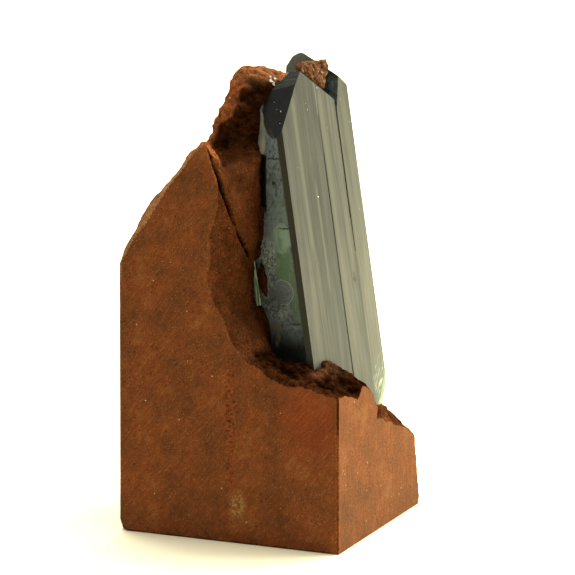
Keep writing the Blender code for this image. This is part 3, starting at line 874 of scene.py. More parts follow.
# Painted highlight: the left rim, lit from behind, and the tops that face up, lit from above, are
# painted pale; the lip a little, with some wear.
lit_left_rim = smooth_step(left, 21.0, 23.0) * smooth_step(up, 36.0, 39.0)
lit_left_rim *= below(back + 1.6 * patchy, 0.9, 4.6) * (0.75 + 0.5 * patchy)
lit_high_rim = smooth_step(up, 62.0, 64.0) * smooth_step(looks_up, 0.2, 0.6)
lit_and_worn_edges = np.clip(0.9 * lit_left_rim + 0.12 * lip + 0.3 * lit_high_rim, 0.0, 1.0)
print("stone under a dark film:", round(float((oxide_film_and_shade > 0.5).mean()), 3))

# %% Thin the flat saw cuts and give the block its finishes
SAWN_SHARE = 0.6  # a face with more of its corners than this on a saw cut is sawn
FLAT_DEGREES = 2.0


def finish_block():
    add_mask(mesh, "film_and_shade", oxide_film_and_shade)
    add_mask(mesh, "lit_and_worn", lit_and_worn_edges)
    bm = bmesh.new()
    bm.from_mesh(mesh)
    for face in bm.faces:
        share = sum(sawn[v.index] for v in face.verts) / len(face.verts)
        face.material_index = 0 if share > SAWN_SHARE else 1
        face.smooth = False
    flat = {f for f in bm.faces if all(sawn[v.index] for v in f.verts)}
    inner = [v for v in bm.verts if v.link_faces and all(f in flat for f in v.link_faces)]
    edges = [e for e in bm.edges if len(e.link_faces) == 2 and all(f in flat for f in e.link_faces)]
    bmesh.ops.dissolve_limit(
        bm, angle_limit=math.radians(FLAT_DEGREES), verts=inner, edges=edges, delimit={"MATERIAL"}
    )
    bmesh.ops.triangulate(bm, faces=[f for f in bm.faces if len(f.verts) > 4])
    bm.to_mesh(mesh)
    bm.free()
    mesh.materials.append(sawn_stone)
    mesh.materials.append(broken_stone)


finish_block()
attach(block, "root")
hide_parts("matrix_block")
print("block faces:", len(block.data.polygons))

# %% [markdown]
# ## Vivianite finishes
#
# Vivianite is clear green when fresh and goes nearly black in light, with a glassy skin.
# The large faces are striated along their length, and their fine steps turn a lamp's reflection
# into olive and grey bands. Here the olive grey and the pale bands are partly painted reflection.
# The end faces are smooth and mirror an unlit room, so they look black; the last facet is painted
# lighter, as a painted reflection.
# The left side is a cleavage surface that has altered to a mottled grey and green.

# %% Striated face
VIVIANITE_IOR = 1.6
OLIVE_SHEEN = ((0.34, "#4b4c44"), (0.5, "#54544a"), (0.66, "#5e5d51"))
LINE_WIDE, LINE_LONG = 0.14, 14.0
LINE_LIGHT = ((0.32, 0.82), (0.5, 1.0), (0.68, 1.16))


def stretched(tree, place, across_mm, along_mm, detail=2.0):
    """Streaks that run along the crystal."""
    pulled = add_node(
        tree,
        "VectorMath",
        {0: place, 1: (1 / across_mm, 1 / across_mm, 1 / along_mm)},
        operation="MULTIPLY",
    )
    return add_node(
        tree, "TexNoise", {"Vector": pulled, "Scale": 1.0, "Detail": detail, "Roughness": 0.6}
    )


striated, tree, shader, _ = start_finish("striated vivianite")
place = crystal_coords(tree)
bands = stretched(tree, place, 0.9, 22.0, 3.0)
lines = stretched(tree, place, LINE_WIDE, LINE_LONG, 3.0)
scratches = stretched(tree, place, 0.3, 3.0, 4.0)
# The olive grey is partly the crystal's own colour and partly a painted reflection of the lamp in its
# striated face.
colour = add_node(tree, "ValToRGB", {0: bands}, stops=OLIVE_SHEEN)
colour = toned(tree, colour, lines, LINE_LIGHT, 0.8)
colour = toned(tree, colour, scratches, ((0.34, 0.94), (0.66, 1.06)))
print("growth lines are", LINE_WIDE, "mm wide and", LINE_LONG, "mm long")

# %% Light across the striated face
# The crystal is paler towards its foot and its right edge, and a dusky patch crosses its middle.
DUSK_AT, DUSK_SIZE = (4.6, 0.0, 21.0), (2.6, 50.0, 7.0)

across, _, along = add_node(tree, "SeparateXYZ", {0: place}).outputs
paler_down = add_node(
    tree, "MapRange", {"Value": along, "From Min": 38.0, "From Max": 0.0, "To Min": 0.86, "To Max": 1.5}
)
paler_right = add_node(
    tree,
    "MapRange",
    {"Value": across, "From Min": 6.0, "From Max": 12.0, "To Min": 0.95, "To Max": 1.55},
)
dusk = spot(tree, place, DUSK_AT, DUSK_SIZE, 0.6)
dusky = add_node(tree, "ValToRGB", {0: dusk}, stops=((0.0, 1.0), (1.0, 0.83)))
colour = lit_by(tree, colour, product(tree, paler_down, paler_right, dusky))
print("dusky patch around", DUSK_AT, "with radii", DUSK_SIZE)

# %% Hairlines and painted sheen bands
HAIRLINES = (
    # across at the top, across at the foot, half width, from along, to along, strength
    (1.35, 2.6, 0.06, -4.0, 26.0, 0.5),
    (3.15, 3.15, 0.09, 14.0, 38.0, 0.28),
    (3.95, 4.05, 0.07, 16.0, 37.0, 0.22),
    (6.35, 6.2, 0.1, 20.0, 38.0, 0.25),
    (8.9, 8.6, 0.05, 8.0, 26.0, 0.25),
    (10.9, 10.4, 0.05, -6.0, 20.0, 0.2),
)
# Painted reflection: pale bands where strips of the striated face catch the lamp.
SHEEN_BANDS = (
    (2.45, 2.7, 0.42, 15.0, 40.0, 0.3),
    (4.55, 4.75, 0.25, 9.0, 27.0, 0.3),
    (7.25, 7.2, 0.45, -8.0, 40.0, 0.26),
    (8.6, 8.5, 0.22, 26.0, 40.0, 0.25),
    (11.4, 11.2, 0.5, -4.0, 38.0, 0.2),
)
STREAKS = [(*facts, "#23241a") for facts in HAIRLINES]
STREAKS += [(*facts, "#8d8d78") for facts in SHEEN_BANDS]
STREAK_TOP = 40.0  # along, where the first of the two numbers holds. The second holds at zero.
STREAK_FADE = 3.0

for top, foot, half, start, end, strength, tone in STREAKS:
    middle = add_node(
        tree,
        "MapRange",
        {"Value": along, "From Min": STREAK_TOP, "From Max": 0.0, "To Min": top, "To Max": foot},
        clamp=False,
    )
    thin = threshold(tree, distance_from(tree, across, middle), half, 0.3 * half)
    reach = product(
        tree,
        threshold(tree, along, start, start + STREAK_FADE),
        threshold(tree, along, end, end - STREAK_FADE),
    )
    colour = laid_over(tree, colour, tone, thin, reach, strength)
print("hairlines and bands:", len(STREAKS))

# %% Fresh lower corner of the striated face
SMUDGE_AT, SMUDGE_SIZE = (9.15, 0.0, 11.4), (0.16, 50.0, 0.9)
FRESH_AT, FRESH_SIZE = (12.3, 0.0, -4.4), (1.9, 50.0, 3.6)
FEATHER_TURN, FEATHER_WIDTHS = -28.0, (0.3, 1.2, 3.2)

smudge = spot(tree, warped(tree, place, 0.5, 0.35), SMUDGE_AT, SMUDGE_SIZE, 0.5)
colour = laid_over(tree, colour, "#2c2e25", smudge, 0.6)
fresh = spot(tree, warped(tree, place, 1.5, 0.5), FRESH_AT, FRESH_SIZE, 0.5)
colour = laid_over(tree, colour, "#8c977f", fresh, 0.5)
feathers = brushed(tree, warped(tree, place, 0.8, 0.25), FEATHER_TURN, FEATHER_WIDTHS)
colour = laid_over(tree, colour, "#dfe4c8", fresh, threshold(tree, feathers, 0.54, 0.62), 0.8)
glassy = {"IOR": VIVIANITE_IOR, "Specular Tint": "#f1efdf"}
coat(tree, shader, colour, 0.34, ((lines, 0.3, 0.01),), glassy)
print("fresh corner at", FRESH_AT)

# %% Dark end faces
TIP_LINE = (0.0, 0.12, 1.0, 40.1)  # the last facet lies past this plane: its normal, its distance
DULL_RIM_AT, DULL_RIM_SIZE = (-0.9, 7.4, 36.8), (5.0, 1.3, 1.8)

dark_face, tree, shader, _ = start_finish("black vivianite end face")
place = crystal_coords(tree)
waves = add_node(tree, "TexNoise", {"Vector": place, "Scale": 0.9, "Detail": 4.0, "Roughness": 0.6})
black = add_node(tree, "ValToRGB", {0: waves}, stops=((0.3, "#0b0b09"), (0.7, "#171813")))
past_tip = add_node(
    tree, "VectorMath", {0: place, 1: TIP_LINE[:3]}, operation="DOT_PRODUCT"
).outputs["Value"]
# The last facet is painted lighter than the one below it: a painted reflection of something brighter
# that it mirrors. Its fine lines and violet tinge are its own.
on_tip = threshold(tree, past_tip, TIP_LINE[3] - 0.06, TIP_LINE[3] + 0.06)
tip_lines = brushed(tree, place, 0.0, (0.5, 2.5, 0.12), 3.0)
tip = laid_over(tree, "#232520", "#43443b", threshold(tree, tip_lines, 0.35, 0.7))
violet = threshold(tree, past_tip, TIP_LINE[3] + 1.2, TIP_LINE[3] + 2.0)
tip = laid_over(tree, tip, "#343040", violet, 0.7)
dull_rim = spot(tree, warped(tree, place, 0.8, 0.15), DULL_RIM_AT, DULL_RIM_SIZE, 0.25)
colour = laid_over(tree, laid_over(tree, black, "#5c5f57", dull_rim, 0.9), tip, on_tip)
level_lines = brushed(tree, place, 0.0, (3.0, 4.0, 0.14), 3.0)
glassy = {"IOR": VIVIANITE_IOR, "Specular IOR Level": 0.32}
coat(tree, shader, colour, 0.2, ((waves, 0.3, 0.03), (level_lines, 0.35, 0.02)), glassy)
print("the last facet starts", TIP_LINE[3], "mm along the crystal")

# %% Narrow bevel and sawn lower corner
bevel, tree, shader, _ = start_finish("olive black bevel")
streaks = stretched(tree, crystal_coords(tree), 0.3, 12.0)
olive_black = add_node(tree, "ValToRGB", {0: streaks}, stops=((0.35, "#1b180f"), (0.65, "#2a2719")))
glassy = {"IOR": VIVIANITE_IOR, "Specular IOR Level": 0.22}
coat(tree, shader, olive_black, 0.3, more=glassy)

sawn_crystal, tree, shader, _ = start_finish("sawn vivianite")
frayed = warped(tree, crystal_coords(tree), 0.8, 0.25)
feathers = brushed(tree, frayed, FEATHER_TURN, FEATHER_WIDTHS)
pale_green = laid_over(tree, "#6f7f62", "#c9d3ae", threshold(tree, feathers, 0.52, 0.62))
coat(tree, shader, pale_green, 0.42, more={"IOR": VIVIANITE_IOR})
print("small finishes:", bevel.name, "and", sawn_crystal.name)

# %% [markdown]
# ## Mottled side
#
# The left side of the front crystal has begun to alter. It has a blue-grey skin with green patches,
# a curdled pale band beside the stone, one growth figure of nested ovals, and dark ends. An image
# texture could show them. Soft patches with torn edges are placed in millimetres instead, each laid
# over those before it, so they stay sharp from near and are easy to move.

# %% Blue-grey skin and green patches
WIDE = 9.0  # a radius that holds a spot to the left side of the front crystal
SKIN = ((0.34, "#363c3c"), (0.44, "#596467"), (0.53, "#7d8a8f"), (0.62, "#667072"), (0.72, "#485050"))
GREENS = (
    # centre (into, along), radii, tilt, colour, strength, softness of the edge
    ((2.9, 14.6), (2.7, 2.5), 0.3, "#5c7659", 0.9, 0.12),
    ((1.5, 9.2), (1.1, 3.6), 0.0, "#5b705c", 0.85, 0.3),
    ((2.9, 18.6), (2.6, 2.1), 0.32, "#869f8e", 0.95, 0.1),
    ((4.9, 17.1), (1.1, 0.8), 0.32, "#7d9787", 0.8, 0.25),
    ((2.6, 22.6), (2.0, 2.2), 0.0, "#6a7e74", 0.5, 0.5),
)


def patch(tree, place, centre, radii, soft, tilt=0.0):
    """A soft patch on the side face. Its centre and its radii are (into, along)."""
    if tilt:
        place = add_node(
            tree,
            "VectorRotate",
            {"Vector": place, "Center": (0.0, *centre), "Angle": tilt},
            rotation_type="X_AXIS",
        )
    return spot(tree, place, (0.0, *centre), (WIDE, *radii), soft)


mottled, tree, shader, _ = start_finish("altered vivianite side")
place = crystal_coords(tree)
flow = warped(tree, place, 2.2, 0.6, 3.0)
torn = warped(tree, place, 0.9, 0.5, 4.0)
cloud = add_node(tree, "TexNoise", {"Vector": flow, "Scale": 1 / 0.7, "Detail": 5.0, "Roughness": 0.66})
fine = add_node(tree, "TexNoise", {"Vector": place, "Scale": 1 / 0.42, "Detail": 2.0, "Roughness": 0.6})
mist = add_node(tree, "TexNoise", {"Vector": flow, "Scale": 1 / 1.5, "Detail": 3.0, "Roughness": 0.5})
colour = add_node(tree, "ValToRGB", {0: cloud}, stops=SKIN)
colour = laid_over(tree, colour, "#2b302e", threshold(tree, fine, 0.42, 0.32), 0.55)
for centre, radii, tilt, green, strength, soft in GREENS:
    where = patch(tree, torn, centre, radii, soft, tilt)
    colour = laid_over(tree, colour, green, where, strength)
colour = laid_over(tree, colour, "#3a413c", threshold(tree, mist, 0.52, 0.72), 0.4)
lilac = patch(tree, torn, (6.1, 19.0), (1.8, 2.4), 0.3)
colour = laid_over(tree, colour, "#686d74", lilac, 0.6)
print("green patches:", len(GREENS))

# %% Curdled band
# Three soft patches, one below the other, make one band that follows the edge of the stone.
CURDLED = (((6.9, 16.4), (2.4, 2.4)), ((7.6, 12.6), (2.3, 3.4)), ((6.6, 9.0), (2.9, 2.4)))


def veins(tree, place, size_mm, thin, distortion=1.0):
    """Thin wandering lines, as a mask: where noise passes its middle value."""
    wander = add_node(
        tree,
        "TexNoise",
        {
            "Vector": place,
            "Scale": 1 / size_mm,
            "Detail": 3.0,
            "Roughness": 0.55,
            "Distortion": distortion,
        },
    )
    return threshold(tree, distance_from(tree, wander, 0.5), thin, 0.2 * thin)


band = patch(tree, torn, *CURDLED[0], 0.3)
for centre, radii in CURDLED[1:]:
    more = patch(tree, torn, centre, radii, 0.3)
    band = add_node(tree, "Math", {0: band, 1: more}, operation="MAXIMUM")
curd = add_node(
    tree,
    "TexNoise",
    {"Vector": torn, "Scale": 1 / 0.95, "Detail": 5.0, "Roughness": 0.68, "Distortion": 1.8},
)
flow_up = add_node(tree, "SeparateXYZ", {0: flow}).outputs[2]
high_band = threshold(tree, flow_up, 10.5, 13)
CURDS = (
    # colour and masks: dark ground, curds, white threads, loose threads, and a slate patch
    ("#4b5250", band, 0.75),
    ("#262a2a", band, threshold(tree, curd, 0.46, 0.36), 0.7),
    ("#a3acae", band, threshold(tree, curd, 0.52, 0.64), 0.9),
    ("#b5bcb8", band, veins(tree, torn, 1.2, 0.06, 1.6), 0.8),
    ("#c6ccc8", band, high_band, threshold(tree, curd, 0.6, 0.7), 0.8),
    ("#8c9590", veins(tree, torn, 1.7, 0.022), 0.45),
    ("#34383a", patch(tree, torn, (6.0, 9.8), (2.4, 1.6), 0.4), 0.45),
)
for tone, *masks in CURDS:
    colour = laid_over(tree, colour, tone, *masks)
print("layers of the curdled band:", len(CURDS))

# %% Growth figure
RING_AT = (0.0, 4.4, 10.9)
RINGS = (
    # radii (into, along), half width of the line as a share, strength
    (2.6, 1.75, 0.05, 0.8),
    (2.1, 1.4, 0.07, 0.2),
    (1.6, 1.0, 0.09, 0.28),
    (0.9, 0.5, 0.16, 0.2),
)


def oval(tree, place, centre, radii, line):
    """A thin line round an ellipse on the side face, and its inside, as two masks."""
    off = add_node(tree, "VectorMath", {0: place, 1: centre}, operation="SUBTRACT")
    shares = add_node(tree, "VectorMath", {0: off, 1: radii}, operation="DIVIDE")
    flat = add_node(tree, "VectorMath", {0: shares, 1: (0.0, 1.0, 1.0)}, operation="MULTIPLY")
    away = add_node(tree, "VectorMath", {0: flat}, operation="LENGTH").outputs["Value"]
    gap = distance_from(tree, away, 1.0)
    return threshold(tree, gap, line, 0.3 * line), threshold(tree, away, 1.0, 0.85)


bent = warped(tree, place, 1.3, 0.24)
_, bent_into, bent_along = add_node(tree, "SeparateXYZ", {0: bent}).outputs
open_side = threshold(tree, bent_into, 6.4, 4.6)
_, inside = oval(tree, bent, RING_AT, (1.0, *RINGS[0][:2]), RINGS[0][2])
colour = laid_over(tree, colour, "#596163", inside, 0.6)
for wide, tall, line, strength in RINGS:
    trace, _ = oval(tree, bent, RING_AT, (1.0, wide, tall), line)
    colour = laid_over(tree, colour, "#a7b0ad", trace, open_side, strength)
lower_curd = patch(tree, torn, (6.8, 7.4), (2.0, 1.0), 0.3)
colour = laid_over(tree, colour, "#868e89", lower_curd, threshold(tree, curd, 0.5, 0.6), 0.7)
print("rings:", len(RINGS))

# %% Dark ends and pale scars
OCHRE_AT = ((7.5, 5.7), (6.7, 4.6), (7.4, 3.6), (6.4, 5.8))
NICKS = (
    # centre (into, along) and radii of fine dark cracks across the face
    ((2.2, 30.1), (1.7, 0.13)),
    ((2.0, 20.1), (1.5, 0.13)),
    ((2.2, 6.3), (1.5, 0.12)),
    ((2.9, 26.6), (0.5, 0.3)),
)
ENDS = (
    # colour and masks: the foot, painted dark as shade beside the stone, the edge by the bevel, two
    # scars, and two dark ends
    ("#1b1d17", threshold(tree, bent_along, 6.6, 2.4), 0.93),
    ("#2c2f27", threshold(tree, bent_into, 1.3, 0.75), 0.45),
    ("#c9bf98", patch(tree, bent, (5.9, 31.9), (1.3, 1.5), 0.35), 0.95),
    ("#878874", patch(tree, bent, (6.0, 34.8), (1.7, 2.5), 0.35), 0.8),
    ("#141512", patch(tree, bent, (1.5, 36.9), (4.4, 4.0), 0.05)),
    ("#1c1e1a", threshold(tree, bent_along, 39.2, 40.6), 0.95),
)
for tone, *masks in ENDS:
    colour = laid_over(tree, colour, tone, *masks)
for centre in OCHRE_AT:
    fleck = patch(tree, warped(tree, place, 0.5, 0.4), centre, (0.4, 0.6), 0.4)
    colour = laid_over(tree, colour, "#8d7a4e", fleck, 0.85)
for centre, radii in NICKS:
    nick = patch(tree, warped(tree, place, 0.9, 0.25), centre, radii, 0.4)
    colour = laid_over(tree, colour, "#121310", nick, 0.85)
print("ochre flecks:", len(OCHRE_AT), "and nicks:", len(NICKS))

# %% Painted shadow of the seam beside the stone
# Where the stone has parted from the crystal, the seam lies in deep shadow, and that shadow is painted
# black on the side face. Its edge lies further into the side face the lower it is.
SEAM_SLOPE = {"From Min": 31.0, "From Max": 21.5, "To Min": 3.8, "To Max": 5.8}

seam_edge = add_node(tree, "MapRange", {"Value": bent_along, **SEAM_SLOPE})
past_edge = add_node(tree, "Math", {0: bent_into, 1: seam_edge}, operation="SUBTRACT")
colour = laid_over(
    tree,
    colour,
    "#0d0704",
    threshold(tree, past_edge, -0.15, 0.15),
    threshold(tree, bent_along, 21.8, 23.0),
    threshold(tree, bent_along, 30.9, 30.3),
)
glassy = {"IOR": VIVIANITE_IOR, "Specular IOR Level": 0.4}
coat(tree, shader, colour, 0.42, ((cloud, 0.4, 0.25), (curd, 0.35, 0.15)), glassy)
FINISHES = (striated, dark_face, mottled, bevel, sawn_crystal)
print("crystal finishes:", [finish.name for finish in FINISHES])

# %% [markdown]
# ## The crystals
#
# A crystal is a prism whose outline is carried along one direction and then cut by flat faces.
# The outline of the striated face is drawn with a point every 0.07 mm, so that each growth step and
# each fine ridge is a real edge. The end faces are exact planes, the same as in the solid model.

# %% Crystal helpers
CUT_MERGE = 1e-8
SHARP_DEGREES = 14
TRIM_LEFT = 0.12  # the saw cut lies this far inside the right side of the stone
TRIM_POINT = to_crystal @ on_stone(TRIM_LEFT, 0, 0) / MM
TRIM_NORMAL = CRYSTAL_FRAME.to_3x3().inverted() @ Vector((1, 0, 0))
STRIATED, DARK, MOTTLED, BEVEL, SAWN = range(len(FINISHES))


def walk(corners, spacings):
    """Points along a closed outline, each with its side's number and its share of that side."""
    found = []
    for i, (start, spacing) in enumerate(zip(corners, spacings)):
        end = corners[(i + 1) % len(corners)]
        length = math.dist(start, end)
        count = max(1, round(length / spacing))
        for j in range(count):
            t = j / count
            found.append((start[0] + (end[0] - start[0]) * t, start[1] + (end[1] - start[1]) * t, i, t))
    return found


def carried(outline, levels, move):
    """A bmesh prism in the crystal frame, in metres. move shifts each point a little."""
    bm = bmesh.new()
    rings = []
    for along in levels:
        ring = [bm.verts.new(Vector(move(*point, along)) * MM) for point in outline]
        rings.append(ring)
    for low, high in zip(rings, rings[1:]):
        for i in range(len(low)):
            j = (i + 1) % len(low)
            bm.faces.new((low[i], low[j], high[j], high[i]))
    bm.faces.new(rings[0])
    bm.faces.new(rings[-1])
    bmesh.ops.recalc_face_normals(bm, faces=bm.faces)
    return bm


def cleave(bm, point, normal):
    """Cuts away what lies beyond a plane, in the crystal frame, and closes the cut."""
    everything = list(bm.verts) + list(bm.edges) + list(bm.faces)
    cut = bmesh.ops.bisect_plane(
        bm,
        geom=everything,
        plane_co=Vector(point) * MM,
        plane_no=Vector(normal),
        clear_outer=True,
        dist=CUT_MERGE,
    )
    rim = [edge for edge in cut["geom_cut"] if isinstance(edge, bmesh.types.BMEdge)]
    bmesh.ops.contextual_create(bm, geom=rim)


def cut_ends(bm, tops, facets):
    """Cuts the faces of a crystal's point, its other facets, and the saw cut at its foot."""
    for across, along, run, rise in tops:
        normal = Vector((-rise, 0.0, run)).normalized()
        cleave(bm, (across, 0.0, along), -normal if normal.z < 0 else normal)
    for point, normal in facets:
        cleave(bm, point, Vector(normal).normalized())
    cleave(bm, TRIM_POINT, TRIM_NORMAL)


def crystal_finish(normal):
    """Which finish a face takes, by the way it looks in the crystal frame."""
    if normal.y < -0.9:
        return STRIATED
    if normal.x < -0.93:
        return MOTTLED
    if normal.z < 0.1 and normal.y < -0.3 and normal.x < -0.5:
        return BEVEL
    if normal.dot(TRIM_NORMAL) > 0.99:
        return SAWN
    return DARK


def crystal_piece(name, bm):
    """Puts a crystal in the scene from its own frame, with a finish for each face."""
    bmesh.ops.recalc_face_normals(bm, faces=bm.faces)
    bm.normal_update()
    for face in bm.faces:
        face.material_index = crystal_finish(face.normal)
    bmesh.ops.triangulate(bm, faces=[f for f in bm.faces if len(f.verts) > 4])
    bmesh.ops.transform(bm, matrix=CRYSTAL_FRAME, verts=bm.verts)
    made = new_piece(name, bm, *FINISHES)
    made.data.shade_smooth()
    made.data.set_sharp_from_angle(angle=math.radians(SHARP_DEGREES))
    return made


print("the saw cut looks along", [round(c, 2) for c in TRIM_NORMAL], "in the crystal frame")

# %% Growth steps and fine ridges
STEP_PLACES = (0.0, 1.5, 2.2, 3.4, 4.1, 6.6, 6.8, 8.0, 8.8, 9.8, 10.05, 12.45)
STEP_DEPTHS = (0.0, 0.0, 0.012, 0.014, 0.0, 0.0, 0.02, 0.02, 0.008, 0.012, 0.02, 0.02)
GROOVE, GROOVE_HALF, GROOVE_DEPTH = 6.68, 0.07, 0.16
RIDGES = 60  # more than the two faces need
RIDGE_EDGES = np.cumsum(draw.uniform(0.14, 0.62, RIDGES))
RIDGE_TILTS = draw.normal(0.0, 0.006, RIDGES + 1)


def ridge_depth(across, along):
    """How far into the crystal its striated face lies, in millimetres."""
    depth = float(np.interp(across, STEP_PLACES, STEP_DEPTHS))
    strip = int(np.searchsorted(RIDGE_EDGES, across))
    start = RIDGE_EDGES[strip - 1] if strip else 0.0
    middle = (start + RIDGE_EDGES[strip]) / 2
    fade = 0.7 + 0.6 * noise.noise(Vector((strip * 3.1, along / 18.0, 0.0)))
    depth += RIDGE_TILTS[strip] * (across - middle) * fade
    depth += 0.006 * noise.noise(Vector((across / 0.16, along / 14.0, 5.0)))
    deep = GROOVE_DEPTH * min(1.0, max(0.15, (40.0 - along) / 16.0))
    depth += deep * max(0.0, 1 - abs(across - GROOVE) / GROOVE_HALF)
    return depth


print("the groove is", round(ridge_depth(GROOVE, 20.0), 3), "mm deep at 20 mm")

# %% Front crystal
FRONT_WIDTH, FRONT_DEPTH = 9.8, 11.4
FRONT_CORNERS = (
    # across and into, from the left edge of the striated face, round by the right and the back
    (0.0, 0.0),
    (FRONT_WIDTH, 0.02),
    (FRONT_WIDTH, FRONT_DEPTH),
    (0.9, FRONT_DEPTH),
    (-0.55, FRONT_DEPTH - 1.6),
    (-0.55, 0.75),
)
FRONT_SPACINGS = (0.07, 1.0, 1.0, 0.5, 0.16, 0.16)
FRONT_TOPS = (
    # across and along of a point on each top edge of the striated face, its run and its rise
    (0.0, 34.05, 22.4, 40.0),
    (3.19, 39.75, 9.1, 14.7),
    (4.49, 41.85, 39.1, -35.5),
)
FRONT_FACETS = (
    # a point (across, into, along) and the outward normal: back slopes, then the pale left facet
    ((4.49, 2.45, 41.85), (-0.2, 1.0, 1.37)),
    ((2.0, 6.45, 37.8), (0.0, 1.0, 0.63)),
    ((-0.21, 2.0, 33.65), (-0.951, 0.22, 0.216)),
)
FRONT_FACE, FRONT_LEFT = 0, 4  # sides of the outline: the striated face and the mottled one
SIDE_RELIEF = ((2.2, 0.05), (0.9, 0.035))  # size, height in mm
LEVELS = np.arange(-8.6, 43.6, 0.6)  # along, from below the seat to above the point


def front_move(across, into, side, share, along):
    """Growth lines on the striated face, and a low relief on the left side."""
    if side == FRONT_FACE and share > 0:
        into += ridge_depth(across, along)
    if side == FRONT_LEFT:
        edge = min(1.0, 6 * share, 6 * (1 - share))
        place = Vector((7.0, into, along))
        relief = sum(noise.noise(place / size) * height for size, height in SIDE_RELIEF)
        across -= relief * edge
    return across, into, along


bm = carried(walk(FRONT_CORNERS, FRONT_SPACINGS), LEVELS, front_move)
cut_ends(bm, FRONT_TOPS, FRONT_FACETS)
front = crystal_piece("front_blade", bm)
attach(front, "root")
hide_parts("front_crystal")

# %% Rear crystal
SEAM = 9.84  # across, where the rear crystal begins
SEAM_CLOSES = (25.0, 13.0)  # along which stretch the seam fades away
REAR_HIGHER = 1.6  # its outline is carried this much further up
REAR_SEAM, REAR_FACE = 0, 1  # sides of the outline: the bevel at the seam and the narrow face
REAR_CORNERS = ((SEAM, 0.24), (10.02, 0.05), (12.33, 0.0), (12.45, 0.14), (12.55, 12.75), (SEAM, 12.75))
REAR_SPACINGS = (0.1, 0.07, 0.12, 1.0, 1.0, 1.0)
REAR_TOPS = ((10.2, 36.25, 4.5, 21.2),)
REAR_FACETS = (
    # the right slope of the peak, its blunt top and two back slopes, then the lower right corner
    ((11.3, 0.0, 39.95), (0.708, -0.307, 0.636)),
    ((11.3, 8.3, 43.55), (0.0, -0.05, 1.0)),
    ((11.3, 10.3, 43.5), (0.0, 0.3, 1.0)),
    ((11.3, 11.3, 43.2), (0.0, 0.95, 1.0)),
    ((12.35, 0.3, -4.4), (0.904, -0.373, -0.327)),
)


def rear_move(across, into, side, share, along):
    """Growth lines on the narrow front, and the seam, which closes towards the foot."""
    if side == REAR_FACE and share > 0:
        into += ridge_depth(across, along) - 0.03
    if side == REAR_SEAM:
        start, end = SEAM_CLOSES
        closed_by = min(1.0, max(0.0, (start - along) / (start - end)))
        into = into + (0.02 - into) * closed_by * (1 - share)
        across -= 0.06 * closed_by * (1 - share)
    return across, into, along


bm = carried(walk(REAR_CORNERS, REAR_SPACINGS), LEVELS + REAR_HIGHER, rear_move)
cut_ends(bm, REAR_TOPS, REAR_FACETS)
rear = crystal_piece("rear_blade", bm)
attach(rear, "root")
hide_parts("rear_crystal")

# %% [markdown]
# ## Small pieces
#
# A rusty scrap of the matrix stayed lodged in the notch between the two tops. A pale splinter of
# crystal and a brown one of stone are caught in the gap on the left. The scrap could be cut from
# the block. It is wrapped and roughened like the block instead, with finer grain as it is small.

# %% Rusty finish of the remnant
STRAW_WIDTHS = (0.16, 0.3, 1.3)

rusty, tree, shader, place = start_finish("rusty remnant")
colour, grains = ironstone_colour(tree, place)
colour = laid_over(tree, colour, "#7b5b40", 0.45)
straws = brushed(tree, place, 25.0, STRAW_WIDTHS, 2.0)
colour = laid_over(tree, colour, "#b99a7c", threshold(tree, straws, 0.55, 0.66), 0.5)
colour = laid_over(tree, colour, "#43261a", threshold(tree, straws, 0.45, 0.36), 0.55)
# Painted shade and film: the scrap is painted darker in its hollows and lighter on its bumps.
pits = add_node(tree, "Attribute", attribute_name="film_and_shade").outputs["Fac"]
colour = toned(tree, colour, pits, ((0.0, 1.25), (0.5, 0.75), (1.0, 0.25)))
coat(tree, shader, colour, 0.9, ((grains, 1.0, 0.2),), {"Specular IOR Level": 0.0})
print("straws are about", STRAW_WIDTHS[2], "mm long")

# %% Remnant between the tops
SCRAP_GRAIN, SCRAP_EASING = 0.12, 4
SCRAP_BUMPS, SCRAP_BOWLS = ((0.9, 0.14), (0.4, 0.16)), ((0.8, 0.3), (0.4, 0.12))
BELOW_TOP = 0.02  # the scrap stays this far below the top of the solid model

remnant = wrapped("matrix_wedge", "stone_remnant", SCRAP_GRAIN)
scrap = remnant.data
scrap_places = places_of(scrap)
scrap_places = eased(scrap, scrap_places, np.ones(len(scrap_places)), SCRAP_EASING)
put_places(scrap, scrap_places)
relief = np.array([stony(Vector(p), SCRAP_BUMPS, SCRAP_BOWLS) for p in scrap_places])
relief -= relief.mean()
scrap_places = scrap_places + normals_of(scrap) * (relief * MM)[:, None]
scrap_places[:, 2] = np.minimum(scrap_places[:, 2], cad_box[1].z - BELOW_TOP * MM)
put_places(scrap, scrap_places)
add_mask(scrap, "film_and_shade", np.clip(0.4 - 2.2 * relief, 0.0, 1.0))
scrap.materials.append(rusty)
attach(remnant, "root")
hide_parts("matrix_wedge")
print("remnant:", len(scrap.polygons), "faces")

# %% Loose sliver
SLIVER_GRAIN = 0.09

pale, tree, shader, _ = start_finish("pale vivianite")
streaks = stretched(tree, crystal_coords(tree), 0.22, 4.0)
green = add_node(
    tree, "ValToRGB", {0: streaks}, stops=((0.4, "#424f3a"), (0.5, "#87926f"), (0.62, "#cfd2b4"))
)
coat(tree, shader, green, 0.3)
sliver = wrapped("crystal_sliver", "loose_sliver", SLIVER_GRAIN)
sliver.data.materials.append(pale)
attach(sliver, "root")
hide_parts("crystal_sliver")
print("sliver:", len(sliver.data.polygons), "faces")

# %% Wedged shard
SHARD_AT, SHARD_SIZE = (-0.85, 8.3, 12.9), (0.36, 0.75, 2.2)  # centre and radii, crystal frame
SHARD_FILM_AND_SHADE = 0.66

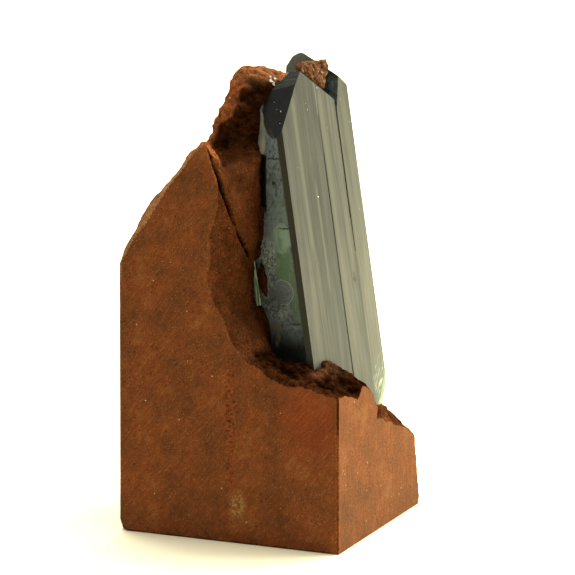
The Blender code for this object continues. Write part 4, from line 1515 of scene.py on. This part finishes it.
bm = bmesh.new()
bmesh.ops.create_icosphere(bm, subdivisions=4, radius=1.0)
for vert in bm.verts:
    rough_by = 1 + 0.35 * noise.noise(vert.co * 1.8) + 0.18 * noise.noise(vert.co * 5.0)
    scaled = [c * size * rough_by for c, size in zip(vert.co, SHARD_SIZE)]
    vert.co = on_crystal(*(a + b for a, b in zip(SHARD_AT, scaled)))
shard = new_piece("wedged_shard", bm, broken_stone)
# The shard in the gap is painted dark: film and painted shade.
add_mask(shard.data, "film_and_shade", np.full(len(shard.data.vertices), SHARD_FILM_AND_SHADE))
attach(shard, "root")

# %% [markdown]
# ## Grains
#
# White quartz grew as tiny grains in a hollow of the upper lump, and bright specks sit on the
# crystals. They could be scattered by instancing. There are few, so each is a small mesh in its
# place, and one object holds each kind.

# %% Quartz grains
quartz, tree, shader, place = start_finish("white quartz")
milk = add_node(tree, "TexNoise", {"Vector": place, "Scale": 2.0, "Detail": 2.0})
white_quartz = add_node(tree, "ValToRGB", {0: milk}, stops=((0.35, "#c9c4b8"), (0.65, "#f2efe8")))
coat(tree, shader, white_quartz, 0.25)
DRUSE = (
    # left, back, up of each clump in the hollow, grains in it, how far they spread
    (17.9, 17.6, 63.9, 6, 0.36),
    (17.1, 17.1, 63.5, 5, 0.3),
    (16.3, 16.7, 63.2, 3, 0.22),
)


def add_grain(bm, middle, radius):
    """A small angular grain: a coarse ball with its corners knocked about."""
    made = bmesh.ops.create_icosphere(bm, subdivisions=1, radius=radius * MM)
    turn = Matrix.Rotation(draw.uniform(0, math.tau), 3, Vector(draw.normal(size=3)).normalized())
    for vert in made["verts"]:
        knocked = vert.co * float(draw.uniform(0.72, 1.28))
        vert.co = middle + turn @ knocked


def grain_piece(name, spots):
    bm = bmesh.new()
    for middle, radius in spots:
        add_grain(bm, middle, radius)
    made = new_piece(name, bm, quartz)
    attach(made, "root")


druse_spots = []
for *clump, count, spread in DRUSE:
    for _ in range(count):
        moved = on_stone(*clump) + Vector(draw.normal(0.0, spread * MM, 3))
        middle = own_tree.find_nearest(moved)[0]
        druse_spots.append((middle, draw.uniform(0.1, 0.2)))
grain_piece("quartz_druse", druse_spots)

# %% Bright specks
SPECKS = (
    # across, into, along and radius of each speck, first those on the striated faces
    (4.70, 0.03, 23.8, 0.13),
    (7.0, 0.03, 39.1, 0.1),
    (4.9, 0.03, 36.3, 0.07),
    (4.75, 0.03, 37.2, 0.05),
    (10.9, 0.03, 36.9, 0.06),
    (11.9, 0.03, 33.5, 0.07),
    (7.9, 0.03, 33.2, 0.04),
    (10.4, 0.03, 34.9, 0.04),
    (1.9, 0.03, 28.4, 0.04),
    (6.3, 0.03, 25.4, 0.04),
    (2.7, 0.03, 15.2, 0.04),
    (11.6, 0.03, 21.0, 0.05),
    (1.3, 1.5, 36.6, 0.08),
    (1.3, 2.3, 36.9, 0.05),
    (0.5, 1.0, 35.0, 0.05),
    (1.9, 3.6, 37.9, 0.04),
)
grain_piece("quartz_dust", [(on_crystal(*at), radius) for *at, radius in SPECKS])
